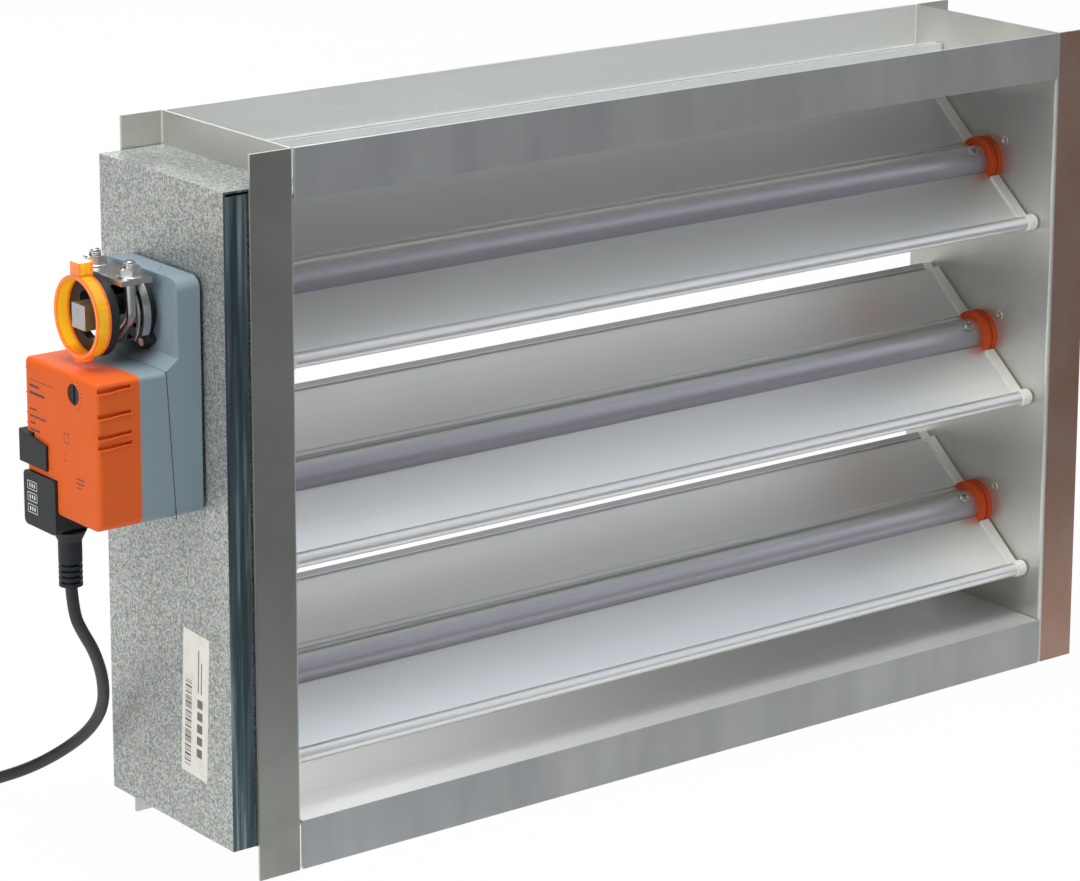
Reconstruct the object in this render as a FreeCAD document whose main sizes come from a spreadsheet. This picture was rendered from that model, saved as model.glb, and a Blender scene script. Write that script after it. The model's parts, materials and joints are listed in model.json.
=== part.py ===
import FreeCAD, Part
import math
import os
import re
import Sketcher
from FreeCAD import Placement, Rotation, Vector

# Motorized control damper for a rectangular air duct.
# Row frame in millimetres: X runs across the duct from the actuator side to the far side,
# Y runs through the duct from its front to its back, Z is up.
# The origin is the middle of the part's footprint, on the surface that the frame stands on.

SIZES = [
    # Frame
    ("frame_height", 360.0, "height over the flanges"),
    ("frame_depth", 115.0, "length of the frame along the duct"),
    ("clear_width", 500.0, "air way between the side plates"),
    ("channel_flange", 25.0, "height of the top and bottom channels"),
    ("channel_wall", 2.0, "wall of the extruded channels"),
    ("channel_corner", 1.5, "fillet inside the channels"),
    ("channel_end_gap", 0.7, "gap between a channel and each side plate"),
    ("port_inset", 21.0, "screw port centre from the channel's outer face"),
    ("port_width", 6.4, "screw port width"),
    ("port_height", 4.2, "screw port height"),
    ("port_bore", 3.6, "screw port bore diameter"),
    ("port_mouth", 1.6, "open slot of a screw port"),
    ("side_flange", 24.5, "side plate flange, from the plate's inner face"),
    ("side_sheet", 1.5, "side plate sheet"),
    ("side_bend", 2.5, "outer bend radius of the side plates"),
    # Blades
    ("blade_pitch", 100.0, "distance between blade pivots"),
    ("pivot_forward", 3.7, "pivots ahead of the frame's middle plane"),
    ("pivot_rise", 1.0, "middle pivot above mid-height"),
    ("blade_tilt", 50.4, "blades from closed, in degrees, as the part stands"),
    ("upper_reach", 53.5, "pivot to the blade's upper edge"),
    ("lower_reach", 52.1, "pivot to the blade's lower edge"),
    ("blade_skin", 1.5, "blade skin"),
    ("tube_diameter", 17.5, "blade tube, outside"),
    ("tube_bore", 13.8, "blade tube, bore"),
    ("bead_diameter", 7.5, "round bead on the lower edge"),
    ("lip_height", 8.2, "offset lip on the upper edge"),
    ("lip_set_back", 1.2, "lip front behind the blade's middle plane"),
    ("lip_thickness", 3.4, "lip thickness"),
    ("groove_drop", 3.4, "lip groove below the upper edge"),
    ("groove_height", 1.6, "lip groove height"),
    ("groove_depth", 1.6, "lip groove depth"),
    ("ridge_first", 10.2, "first ridge above the pivot"),
    ("ridge_second", 12.8, "second ridge above the pivot"),
    ("ridge_width", 1.0, "ridge width"),
    ("ridge_height", 0.7, "ridge height"),
    # Hubs, bushes and end seals
    ("hub_diameter", 26.6, "hub disc diameter"),
    ("hub_disc", 3.0, "hub disc thickness"),
    ("hub_gap", 1.0, "running gap between hub disc and bush"),
    ("bush_flange", 3.4, "bush flange thickness"),
    ("bush_diameter", 26.6, "bush flange diameter"),
    ("bush_barrel", 23.4, "bush barrel diameter"),
    ("bush_nose", 3.0, "bush barrel outside the plate"),
    ("stub_diameter", 20.0, "hub journal diameter"),
    ("stub_extra", 2.0, "hub journal past the bush"),
    ("running_clearance", 0.05, "radial clearance of a running fit"),
    ("seat_clearance", 0.05, "radial clearance of a seated fit"),
    ("spigot_length", 20.0, "hub spigot inside the blade tube"),
    ("shaft_square", 12.0, "square shaft, across flats"),
    ("shaft_grip", 13.0, "square shaft inside the hub"),
    ("seal_thickness", 6.2, "end seal along the blade"),
    ("seal_width", 4.6, "end seal strip across the blade"),
    ("seal_top_knob", 8.0, "end seal knob at the lip, diameter"),
    ("seal_bottom_knob", 8.8, "end seal knob at the bead, diameter"),
    ("seal_gap", 0.3, "end seal clear of the hub disc"),
    ("blade_screw", 3.5, "blade screw diameter"),
    ("blade_screw_head", 6.6, "blade screw head diameter"),
    ("blade_screw_rise", 2.4, "blade screw head height"),
    ("blade_screw_length", 8.0, "blade screw under its head"),
    ("blade_screw_inset", 8.5, "blade screw from the blade's end"),
    # Linkage and its cover
    ("crank_gap", 1.0, "gap between hub journal and crank"),
    ("crank_radius", 30.0, "crank pin from its pivot"),
    ("crank_thickness", 5.0, "crank thickness"),
    ("crank_eye", 22.0, "crank eye at the shaft, diameter"),
    ("crank_tip", 13.0, "crank eye at the pin, diameter"),
    ("pin_diameter", 6.0, "crank pin diameter"),
    ("pin_head_diameter", 9.0, "crank pin head diameter"),
    ("pin_head", 2.0, "crank pin head thickness"),
    ("pin_clearance", 0.1, "tie bar hole around a crank pin, radial"),
    ("bar_gap", 0.3, "side gap of the tie bar"),
    ("bar_width", 12.0, "tie bar width"),
    ("bar_thickness", 3.0, "tie bar thickness"),
    ("bar_end", 10.0, "tie bar past its end holes"),
    ("clip_diameter", 10.0, "pin clip diameter"),
    ("clip_thickness", 1.2, "pin clip thickness"),
    ("clip_groove", 0.8, "pin groove depth under the clip"),
    ("pin_tail", 1.0, "crank pin past its clip"),
    ("cover_projection", 38.0, "linkage cover from the side plate's inner face"),
    ("cover_depth", 110.0, "linkage cover along the duct"),
    ("cover_sheet", 1.0, "linkage cover sheet"),
    ("cover_bottom", 17.4, "linkage cover's lower edge"),
    ("cover_drop", 16.8, "linkage cover's top below the frame's top"),
    ("cover_lip", 12.5, "wide part of the cover's walls"),
    ("cover_step", 1.0, "walls step in behind the wide part"),
    ("cover_slot", 1.4, "open slot under the cover's top"),
    ("cover_tab", 12.0, "height of the cover's screw tabs"),
    ("cover_tab_width", 56.0, "width of the cover's screw tabs"),
    ("shaft_hole", 19.0, "cover hole for the drive shaft, diameter"),
    ("frame_screw_head", 4.8, "frame screw head diameter"),
    ("frame_screw_rise", 2.2, "frame screw head height"),
    ("frame_screw_length", 14.0, "frame screw under its head"),
    ("cover_screw", 3.0, "cover screw diameter"),
    ("cover_screw_head", 5.2, "cover screw head diameter"),
    ("cover_screw_rise", 1.8, "cover screw head height"),
    ("cover_screw_length", 7.0, "cover screw under its head"),
    ("cover_screw_inset", 2.8, "cover screw from the cover's edge"),
    ("cover_screw_spacing", 40.0, "distance between two cover screws"),
    # Actuator case
    ("case_gap", 2.0, "actuator clear of the cover"),
    ("case_width", 66.0, "actuator width"),
    ("case_above", 19.0, "actuator top above its shaft"),
    ("case_below", 97.0, "actuator bottom below its shaft"),
    ("case_wall", 1.8, "wall of the case shells"),
    ("case_corner", 6.0, "corner radius of the case"),
    ("case_edge", 2.5, "rounded front edge of the orange cover"),
    ("neck_depth", 12.5, "case depth around the shaft"),
    ("step_start", 19.0, "neck's end below the shaft"),
    ("step_end", 24.2, "body's top below the shaft"),
    ("seam_upper", 19.4, "seam depth at the top"),
    ("seam_lower", 15.2, "seam depth at the bottom"),
    ("shell_depth", 34.0, "grey shells' depth"),
    ("case_depth", 57.5, "whole case depth"),
    ("boss_inset", 5.0, "screw boss centre from the case's sides"),
    ("boss_diameter", 7.0, "screw boss diameter"),
    ("case_screw", 3.0, "case screw diameter"),
    ("case_screw_head", 5.6, "case screw head diameter"),
    ("case_screw_rise", 1.2, "case screw head height"),
    ("case_screw_length", 27.0, "case screw length"),
    ("notch_side", 4.7, "terminal cover's inner edge from the shaft, along Y"),
    ("notch_height", 17.4, "terminal cover's top above the case's bottom"),
    ("notch_gap", 0.3, "terminal cover clear of the case"),
    ("terminal_stand", 1.5, "terminal cover proud of the case front"),
    ("terminal_side", 1.0, "terminal cover proud of the case side"),
    ("terminal_drop", 10.0, "terminal cover below the case"),
    ("terminal_depth", 22.0, "terminal cover along X"),
    ("terminal_wall", 1.6, "terminal cover wall"),
    ("terminal_corner", 3.0, "terminal cover corner radius"),
    ("vent_length", 18.0, "vent slot length"),
    ("vent_height", 2.2, "vent slot height"),
    ("vent_start", 0.8, "vent slots start behind the case front"),
    ("vent_recess", 1.2, "vent slot depth"),
    ("vent_first", 3.6, "first vent slot below the body's top"),
    ("vent_second", 15.8, "second vent slot below the body's top"),
    ("vent_third", 25.8, "third vent slot below the body's top"),
    ("vent_fourth", 30.8, "fourth vent slot below the body's top"),
    ("board_thickness", 1.6, "circuit board thickness"),
    ("capacitor_diameter", 10.0, "capacitor diameter"),
    ("capacitor_length", 12.0, "capacitor height on the board"),
    ("relay_width", 15.0, "relay width"),
    ("relay_depth", 11.0, "relay height on the board"),
    ("plate_depth", 14.5, "gear plate's place in the case"),
    ("plate_thickness", 1.2, "gear plate thickness"),
    ("fit_gap", 0.2, "small gap around boards and plates in the case"),
    # Controls on the case
    ("button_travel", 3.0, "release button stroke"),
    ("button_length", 25.0, "release button along Y"),
    ("button_stand", 4.2, "release button proud of the case side"),
    ("button_low", 20.4, "release button above the case's bottom"),
    ("button_inner_height", 12.5, "release button height at its inner end"),
    ("button_outer_height", 16.0, "release button height at its outer end"),
    ("button_plate", 1.2, "release button face thickness"),
    ("button_block", 9.0, "release button block along Y"),
    ("button_skirt", 11.0, "release button block along X"),
    ("button_stem", 5.0, "release button stem, across"),
    ("button_stem_length", 12.0, "release button stem inside the case"),
    ("slide_gap", 0.3, "gap around the release button"),
    ("switch_diameter", 10.4, "direction switch diameter"),
    ("switch_side", 11.9, "direction switch ahead of the shaft"),
    ("switch_below", 33.5, "direction switch below the shaft"),
    ("switch_sunk", 0.6, "direction switch below the case front"),
    ("switch_height", 4.0, "direction switch knob height"),
    ("switch_slot", 1.4, "direction switch slot width"),
    ("switch_slot_length", 8.3, "direction switch slot length"),
    ("switch_stem", 4.0, "direction switch stem diameter"),
    # Gear train
    ("output_module", 1.0, "module of the output stage"),
    ("middle_module", 0.8, "module of the middle stage"),
    ("input_module", 0.6, "module of the motor stage"),
    ("output_teeth", 56, "teeth of the whole output gear"),
    ("first_teeth", 32, "teeth of the first reduction wheel"),
    ("second_teeth", 36, "teeth of the second reduction wheel"),
    ("pinion_teeth", 12, "teeth of every pinion"),
    ("backlash", 0.12, "play between two teeth"),
    ("pressure_angle", 25.0, "pressure angle of the teeth, degrees"),
    ("tooth_height", 0.8, "tooth above the pitch circle, in modules"),
    ("tooth_depth", 1.0, "tooth below the pitch circle, in modules"),
    ("flank_steps", 4, "straight steps along a tooth flank"),
    ("sector_spare", 8.0, "spare teeth past each end of the travel, degrees"),
    ("output_start", 3.0, "output gear's place in the case"),
    ("output_face", 5.0, "output gear face width"),
    ("output_disc", 32.0, "output gear disc diameter"),
    ("wheel_face", 1.6, "reduction wheel face width"),
    ("pinion_extra", 0.6, "pinion longer than its mate"),
    ("axle_diameter", 3.0, "gear axle diameter"),
    ("middle_angle", 55.0, "second axle below level, seen from the first, degrees"),
    ("motor_angle", 135.0, "motor below level, seen from the second axle, degrees"),
    ("motor_diameter", 26.0, "motor can diameter"),
    ("motor_length", 15.0, "motor can length"),
    ("motor_shaft", 2.4, "motor shaft diameter"),
    ("motor_shaft_grip", 8.0, "motor shaft inside the can"),
    # Output hub, end stops and shaft clamp
    ("sleeve_diameter", 25.0, "output hub sleeve diameter"),
    ("sleeve_bore", 20.0, "output hub bore diameter"),
    ("sleeve_start", 0.5, "output hub clear of the case back"),
    ("collar_gap", 0.5, "stop collar clear of the case"),
    ("collar_diameter", 30.0, "stop collar diameter"),
    ("collar_face", 3.0, "stop collar thickness"),
    ("lever_reach", 18.6, "stop lever from the shaft"),
    ("lever_width", 6.0, "stop lever width"),
    ("lever_angle", 58.0, "stop lever below level towards the back, degrees"),
    ("opening_travel", 39.6, "travel from rest to fully open, degrees"),
    ("closing_travel", 50.4, "travel from rest to closed, degrees"),
    ("stop_width", 8.0, "end stop width"),
    ("stop_height", 5.4, "end stop height"),
    ("stop_inner", 15.6, "end stop's inner face from the shaft"),
    ("stop_outer", 19.8, "end stop's outer face from the shaft"),
    ("stop_margin", 0.6, "end stop clear of the lever at its limit, degrees"),
    ("stop_screw", 2.5, "end stop screw diameter"),
    ("stop_screw_head", 4.0, "end stop screw head diameter"),
    ("stop_screw_rise", 0.8, "end stop screw head height"),
    ("clamp_start", 19.0, "clamp saddle from the case back"),
    ("clamp_length", 17.0, "clamp saddle along the shaft"),
    ("saddle_sheet", 2.5, "clamp saddle plate"),
    ("saddle_width", 44.0, "clamp saddle width"),
    ("saddle_top", 19.5, "clamp saddle's top above the shaft centre"),
    ("saddle_jaw", 16.0, "clamp saddle jaw width"),
    ("clamp_gap", 0.05, "fit between shaft and clamp"),
    ("bolt_diameter", 5.5, "clamp bolt diameter"),
    ("bolt_spacing", 31.0, "clamp bolt legs, centre to centre"),
    ("bolt_top", 27.0, "clamp bolt ends above the shaft centre"),
    ("bolt_bend", 7.0, "clamp bolt bend radius"),
    ("nut_across", 10.0, "clamp nut across flats"),
    ("nut_height", 5.0, "clamp nut height"),
    ("nut_washer", 12.5, "clamp nut flange diameter"),
    ("nut_washer_height", 1.0, "clamp nut flange height"),
    ("carrier_start", 36.0, "ring carrier from the case back"),
    ("carrier_face", 4.4, "ring carrier thickness"),
    ("carrier_bore", 24.0, "ring carrier bore diameter"),
    ("carrier_gap", 0.5, "ring carrier arms clear of the saddle's jaws"),
    ("carrier_arm", 3.0, "ring carrier arm thickness"),
    ("carrier_arm_low", 1.0, "ring carrier arms above the shaft centre"),
    ("carrier_arm_height", 9.0, "ring carrier arm height"),
    ("ring_diameter", 40.0, "position ring diameter"),
    ("ring_wall", 1.8, "position ring wall"),
    ("ring_length", 7.6, "position ring along the shaft"),
    ("ring_tab_width", 8.0, "position ring tab width"),
    ("ring_tab_height", 6.5, "position ring tab height"),
    ("shaft_end", 46.5, "drive shaft's end from the case back"),
    # Pin that keeps the actuator from turning
    ("stay_diameter", 5.0, "stay pin diameter"),
    ("stay_head", 9.0, "stay pin head diameter"),
    ("stay_rise", 12.0, "stay pin above the case's bottom"),
    ("stay_slot", 12.0, "stay pin slot length"),
    # Lead
    ("lead_diameter", 6.0, "lead diameter"),
    ("lead_depth", 48.0, "lead outlet from the case back"),
    ("lead_side", 10.7, "lead outlet behind the shaft, along Y"),
    ("relief_collar", 16.6, "strain relief collar diameter"),
    ("relief_diameter", 11.6, "strain relief body diameter"),
    ("relief_core", 8.6, "strain relief core between ribs"),
    ("relief_taper", 5.0, "strain relief collar length"),
    ("relief_body", 11.0, "strain relief plain length"),
    ("relief_rib", 1.7, "strain relief rib height"),
    ("relief_slot", 1.2, "strain relief slot height"),
    ("relief_ribs", 4, "ribs of the strain relief"),
    ("coil_diameter", 66.0, "coil across the middle of its turns"),
    ("coil_turns_wide", 2, "turns side by side in the coil"),
    ("coil_turns_high", 2, "turns on each other in the coil"),
    ("coil_entry", 24.0, "straight stretch of lead before the coil"),
    ("coil_tail", 34.0, "straight stretch of lead after the coil"),
    ("bend_share", 0.45, "share of the lead's shorter stretch that each bend takes"),
    ("coil_slack", 0.3, "lead's stretches at the coil thinner than the lead, radial"),
    ("core_diameter", 2.0, "core diameter"),
    ("core_length", 22.0, "bare core length at the lead's end"),
]

# Places worked out from the sizes; each is an expression of sizes and of other places.
PLACES = {
    "left_reach": "cover_projection + case_gap + case_depth + terminal_stand",
    "middle_x": "(left_reach - side_flange) / 2",
    "left_face": "middle_x - clear_width / 2",
    "right_face": "middle_x + clear_width / 2",
    "half_depth": "frame_depth / 2",
    "pivot_y": "0 - pivot_forward",
    "middle_z": "frame_height / 2 + pivot_rise",
    "top_z": "middle_z + blade_pitch",
    "blade_end": "clear_width / 2 - bush_flange - hub_gap - hub_disc",
    "stub_length": "hub_gap + bush_flange + side_sheet + bush_nose + stub_extra",
    "bead_place": "lower_reach - bead_diameter / 2",
    "bead_forward": "bead_diameter / 2 - blade_skin / 2",
    "lip_middle": "lip_set_back + lip_thickness / 2",
    "hub_end": "left_face - side_sheet - bush_nose - stub_extra",
    "crank_face": "hub_end - crank_gap",
    "crank_outer": "crank_face - crank_thickness",
    "bar_outer": "crank_outer - bar_gap - bar_thickness",
    "clip_face": "bar_outer - bar_gap",
    "pin_y": "pivot_y + crank_radius",
    "cover_face": "left_face - cover_projection",
    "cover_top": "frame_height - cover_drop",
    "case_back": "cover_face - case_gap",
    "case_half": "case_width / 2",
    "case_bottom": "top_z - case_below",
    "first_z": "top_z - output_module * (output_teeth + pinion_teeth) / 2",
    "middle_centres": "middle_module * (first_teeth + pinion_teeth) / 2",
    "second_y": "pivot_y + middle_centres * cos(middle_angle)",
    "second_z": "first_z - middle_centres * sin(middle_angle)",
    "input_centres": "input_module * (second_teeth + pinion_teeth) / 2",
    "motor_y": "second_y + input_centres * cos(motor_angle)",
    "motor_z": "second_z - input_centres * sin(motor_angle)",
    "first_wheel_start": "output_start + output_face + pinion_extra",
    "second_wheel_start": "first_wheel_start + wheel_face + 2 * pinion_extra",
    "clamp_middle": "clamp_start + clamp_length / 2",
    "ring_start": "carrier_start + carrier_face",
    "terminal_floor": "case_bottom - terminal_drop",
    "collar_end": "neck_depth + collar_gap + collar_face",
    "stop_apart": "(asin(lever_width / 2 / stop_inner) + asin(stop_width / 2 / stop_inner)) / 1 deg"
                  " + stop_margin",
    "stop_centre": "(stop_inner + stop_outer) / 2",
    "opening_stop": "lever_angle + opening_travel + stop_apart",
    "closing_stop": "closing_travel - lever_angle + stop_apart",
    "relief_length": "relief_taper + relief_body + relief_ribs * (relief_slot + relief_rib)",
    "lead_x": "case_back - lead_depth",
    "lead_y": "pivot_y + lead_side",
}
ALIASES = {alias for alias, value, meaning in SIZES}
AXES = {"x": Vector(1, 0, 0), "y": Vector(0, 1, 0), "z": Vector(0, 0, 1)}
BLADES = {"blade_1": "1", "blade_2": "0", "blade_3": "-1"}

doc = FreeCAD.newDocument("control_damper")
sheet = doc.addObject("Spreadsheet::Sheet", "sizes")
for row, (alias, value, meaning) in enumerate(SIZES, 1):
    sheet.set("A%d" % row, alias)
    sheet.set("B%d" % row, str(value))
    sheet.set("C%d" % row, meaning)
    sheet.setAlias("B%d" % row, alias)
doc.recompute()
subparts = []


def cells(text):
    """The expression with each size written as its cell and each place worked out."""
    def swap(match):
        word = match.group(0)
        if word in PLACES:
            return "(" + cells(PLACES[word]) + ")"
        return "sizes." + word if word in ALIASES else word
    return re.sub(r"[a-z][a-z_0-9]*", swap, text)


def number(text):
    """The expression's value, for shapes that are worked out point by point."""
    return float(sheet.evalExpression(cells(text)))


def bind(thing, prop, text):
    thing.setExpression(prop, cells(text))


def place(thing, at, axis=None, angle=None):
    """Binds where a thing is, and how far it is turned about an axis."""
    if axis is not None:
        thing.Placement = Placement(Vector(), Rotation(axis, 10))
        bind(thing, ".Placement.Rotation.Angle", angle)
    for letter, text in zip("xyz", at):
        bind(thing, ".Placement.Base." + letter, text)
    return thing


def sub_part(thing, label):
    thing.Label = label
    subparts.append(thing)
    return thing


def rectangle(left, low, right, high):
    """The four corners of an upright rectangle, in order."""
    return [(left, low), (right, low), (right, high), (left, high)]


def box(name, low, spans):
    item = doc.addObject("Part::Box", name)
    for prop, text in zip(("Length", "Width", "Height"), spans):
        bind(item, prop, text)
    return place(item, low)


def rod(name, start, axis, diameter, length):
    """A cylinder from its start point along an axis letter; a minus sign turns it round."""
    item = doc.addObject("Part::Cylinder", name)
    way = AXES[axis[-1]] * (-1 if axis[0] == "-" else 1)
    item.Placement = Placement(Vector(), Rotation(AXES["z"], way))
    bind(item, "Radius", "(%s) / 2" % diameter)
    bind(item, "Height", length)
    return place(item, start)


def join(name, items):
    item = doc.addObject("Part::MultiFuse", name)
    item.Shapes = items
    return item


def cut(name, base, tools):
    item = doc.addObject("Part::Cut", name)
    item.Base = base
    item.Tool = tools[0] if len(tools) == 1 else join(name + "_tools", tools)
    return item


def group(name, items):
    """Separate solids that share one node."""
    item = doc.addObject("Part::Compound", name)
    item.Links = items
    return item


def feature(label, shape):
    """A sub-part whose shape is worked out point by point."""
    item = doc.addObject("Part::Feature", label)
    item.Shape = shape
    return sub_part(item, label)


class Piece:
    """A sub-part made of sketches that are padded and pocketed in its own body."""

    def __init__(self, label, at=("0", "0", "0"), axis=None, angle=None):
        self.body = sub_part(doc.addObject("PartDesign::Body", label), label)
        place(self.body, at, axis, angle)
        self.count = 0

    def sketch(self, plane, lift):
        """An empty sketch on a plane of the body, moved along the plane's normal."""
        self.count += 1
        sketch = self.body.newObject("Sketcher::SketchObject", "%s_sketch_%d" % (self.body.Name, self.count))
        origin = self.body.Origin.OriginFeatures
        support = [item for item in origin if item.Role == plane + "_Plane"][0]
        sketch.AttachmentSupport = [(support, "")]
        sketch.MapMode = "FlatFace"
        bind(sketch, ".AttachmentOffset.Base.z", lift)
        return sketch

    def outline(self, plane, points, lift="0"):
        """A closed outline of straight edges through points given as expressions."""
        sketch = self.sketch(plane, lift)
        spots = [Vector(number(a), number(b), 0) for a, b in points]
        count = len(spots)
        for index in range(count):
            sketch.addGeometry(Part.LineSegment(spots[index], spots[(index + 1) % count]), False)
        for index, (across, up) in enumerate(points):
            link = Sketcher.Constraint("Coincident", index, 2, (index + 1) % count, 1)
            sketch.addConstraint(link)
            for kind, text in (("DistanceX", across), ("DistanceY", up)):
                rule = Sketcher.Constraint(kind, -1, 1, index, 1, number(text))
                bind(sketch, "Constraints[%d]" % sketch.addConstraint(rule), text)
        return sketch

    def circles(self, plane, spots, lift="0"):
        """Circles given as centre across, centre up and diameter."""
        sketch = self.sketch(plane, lift)
        for index, (across, up, diameter) in enumerate(spots):
            centre = Vector(number(across), number(up), 0)
            sketch.addGeometry(Part.Circle(centre, AXES["z"], number(diameter) / 2), False)
            rules = (
                (Sketcher.Constraint("DistanceX", -1, 1, index, 3, number(across)), across),
                (Sketcher.Constraint("DistanceY", -1, 1, index, 3, number(up)), up),
                (Sketcher.Constraint("Diameter", index, number(diameter)), diameter),
            )
            for rule, text in rules:
                bind(sketch, "Constraints[%d]" % sketch.addConstraint(rule), text)
        return sketch

    def feature(self, kind, sketch, length, back):
        item = self.body.newObject("PartDesign::" + kind, "%s_%s_%d" % (self.body.Name, kind, self.count))
        item.Profile = sketch
        bind(item, "Length", length)
        item.Reversed = back
        doc.recompute()
        return self

    def pad(self, sketch, length, back=False):
        return self.feature("Pad", sketch, length, back)

    def pocket(self, sketch, length, back=False):
        """Cuts along the sketch's normal, or against it with back."""
        return self.feature("Pocket", sketch, length, not back)

    def fillet(self, radius, wanted):
        """Rounds the straight edges whose direction and middle point the test wants."""
        base = self.body.Tip
        names = []
        for index, edge in enumerate(base.Shape.Edges, 1):
            if len(edge.Vertexes) == 2 and edge.Curve.TypeId == "Part::GeomLine":
                way = edge.Vertexes[1].Point - edge.Vertexes[0].Point
                if wanted(way.normalize(), edge.CenterOfMass):
                    names.append("Edge%d" % index)
        item = self.body.newObject("PartDesign::Fillet", "%s_fillet_%d" % (self.body.Name, self.count))
        item.Base = (base, names)
        bind(item, "Radius", radius)
        doc.recompute()
        return self


def near(value, target):
    return abs(value - target) < 0.01


def channel(label, edge, way):
    """U channel across the duct: edge is its outer height, way is -1 downwards and 1 upwards."""
    web = "%s + %d * channel_flange" % (edge, way)
    inner = "%s - %d * channel_wall" % (web, way)
    wall = "half_depth - channel_wall"
    piece = Piece(label, at=("left_face + channel_end_gap", "0", "0"))
    piece.pad(piece.outline("YZ", [
        ("0 - half_depth", edge), ("0 - half_depth", web), ("half_depth", web), ("half_depth", edge),
        (wall, edge), (wall, inner), ("0 - (%s)" % wall, inner), ("0 - (%s)" % wall, edge),
    ]), "clear_width - 2 * channel_end_gap")
    inside = number(inner)
    corner = number(wall)
    piece.fillet("channel_corner", lambda line, middle: near(abs(line.x), 1) and near(
        middle.z, inside) and near(abs(middle.y), corner))
    for side in ("-1", "1"):
        centre = "%s * (half_depth - port_inset)" % side
        bore = "%s - %d * (port_height / 2)" % (inner, way)
        rim = "%s - %d * port_height" % (inner, way)
        root = web + " - %d * channel_wall / 2" % way
        piece.pad(piece.outline("YZ", rectangle(
            centre + " - port_width / 2", root, centre + " + port_width / 2", rim,
        )), "clear_width - 2 * channel_end_gap")
        piece.pocket(piece.circles("YZ", [(centre, bore, "port_bore")]), "clear_width")
        piece.pocket(piece.outline("YZ", rectangle(
            centre + " - port_mouth / 2", bore, centre + " + port_mouth / 2", rim + " - %d * port_bore" % way,
        )), "clear_width")
    return piece


def screw_heights():
    """Heights of the screws that join the channels to the side plates."""
    drop = "channel_flange - channel_wall - port_height / 2"
    return ("frame_height - (%s)" % drop, drop)


def side_plate(label, face, way):
    """Folded side plate: face is its inner face, way is -1 on the left and 1 on the right."""
    flange = "%d * side_flange" % way
    sheet_x = "%d * side_sheet" % way
    fold = "half_depth - side_sheet"
    piece = Piece(label, at=(face, "0", "0"))
    piece.pad(piece.outline("XY", [
        ("0", "0 - half_depth"), ("0", "half_depth"), (flange, "half_depth"), (flange, fold),
        (sheet_x, fold), (sheet_x, "0 - (%s)" % fold), (flange, "0 - (%s)" % fold),
        (flange, "0 - half_depth"),
    ]), "frame_height")
    depth = number("half_depth")
    piece.fillet("side_bend", lambda line, middle: near(abs(line.z), 1) and near(
        middle.x, 0) and near(abs(middle.y), depth))
    inner_x = number(sheet_x)
    inner_y = number(fold)
    piece.fillet("side_bend - side_sheet", lambda line, middle: near(abs(line.z), 1) and near(
        middle.x, inner_x) and near(abs(middle.y), inner_y))
    holes = [("pivot_y", "middle_z + %s * blade_pitch" % row, "bush_barrel + 2 * seat_clearance")
             for row in BLADES.values()]
    for side in ("-1", "1"):
        for height in screw_heights():
            holes.append(("%s * (half_depth - port_inset)" % side, height, "port_bore + 2 * seat_clearance"))
    if way < 0:
        hole = "cover_screw + 2 * seat_clearance"
        for side in ("-1", "1"):
            for height in ("cover_top - cover_screw_inset", "cover_bottom + cover_screw_inset"):
                holes.append(("%s * cover_screw_spacing / 2" % side, height, hole))
    piece.pocket(piece.circles("YZ", holes, "0 - side_bend"), "2 * side_bend")
    return piece


def pan_screw(name, start, axis, diameter, head, rise, length):
    """A pan-head screw: start is under its head, and its shank runs along the axis letter."""
    back = axis[-1] if axis[0] == "-" else "-" + axis
    return join(name, [rod(name + "_shank", start, axis, diameter, length),
                       rod(name + "_head", start, back, head, rise)])


def frame_screws():
    screws = []
    plates = {"left": ("left_face - side_sheet", "x"), "right": ("right_face + side_sheet", "-x")}
    for side, (plate_face, axis) in plates.items():
        for place_y, way in (("front", "-1"), ("back", "1")):
            for row, height in enumerate(screw_heights()):
                start = (plate_face, "%s * (half_depth - port_inset)" % way, height)
                screws.append(pan_screw(
                    "frame_screw_%s_%s_%d" % (side, place_y, row), start, axis, "port_bore",
                    "frame_screw_head", "frame_screw_rise", "frame_screw_length"))
    sub_part(group("frame_screws_group", screws), "frame_screws")


def bushes(label, face, way):
    """Three bearing bushes: a flange inside the plate, a barrel through it, one bore."""
    inward = "x" if way < 0 else "-x"
    outward = "-x" if way < 0 else "x"
    items = []
    for blade, row in BLADES.items():
        name = label + "_" + blade
        at = (face, "pivot_y", "middle_z + %s * blade_pitch" % row)
        solid = join(name + "_solid", [
            rod(name + "_flange", at, inward, "bush_diameter", "bush_flange"),
            rod(name + "_barrel", at, outward, "bush_barrel", "side_sheet + bush_nose")])
        start = ("%s - %d * bush_flange * 2" % (face, way), at[1], at[2])
        bore = rod(name + "_bore", start, outward, "stub_diameter + 2 * running_clearance",
                   "4 * bush_flange + side_sheet + bush_nose")
        items.append(cut(name, solid, [bore]))
    sub_part(group(label + "_group", items), label)


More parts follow.
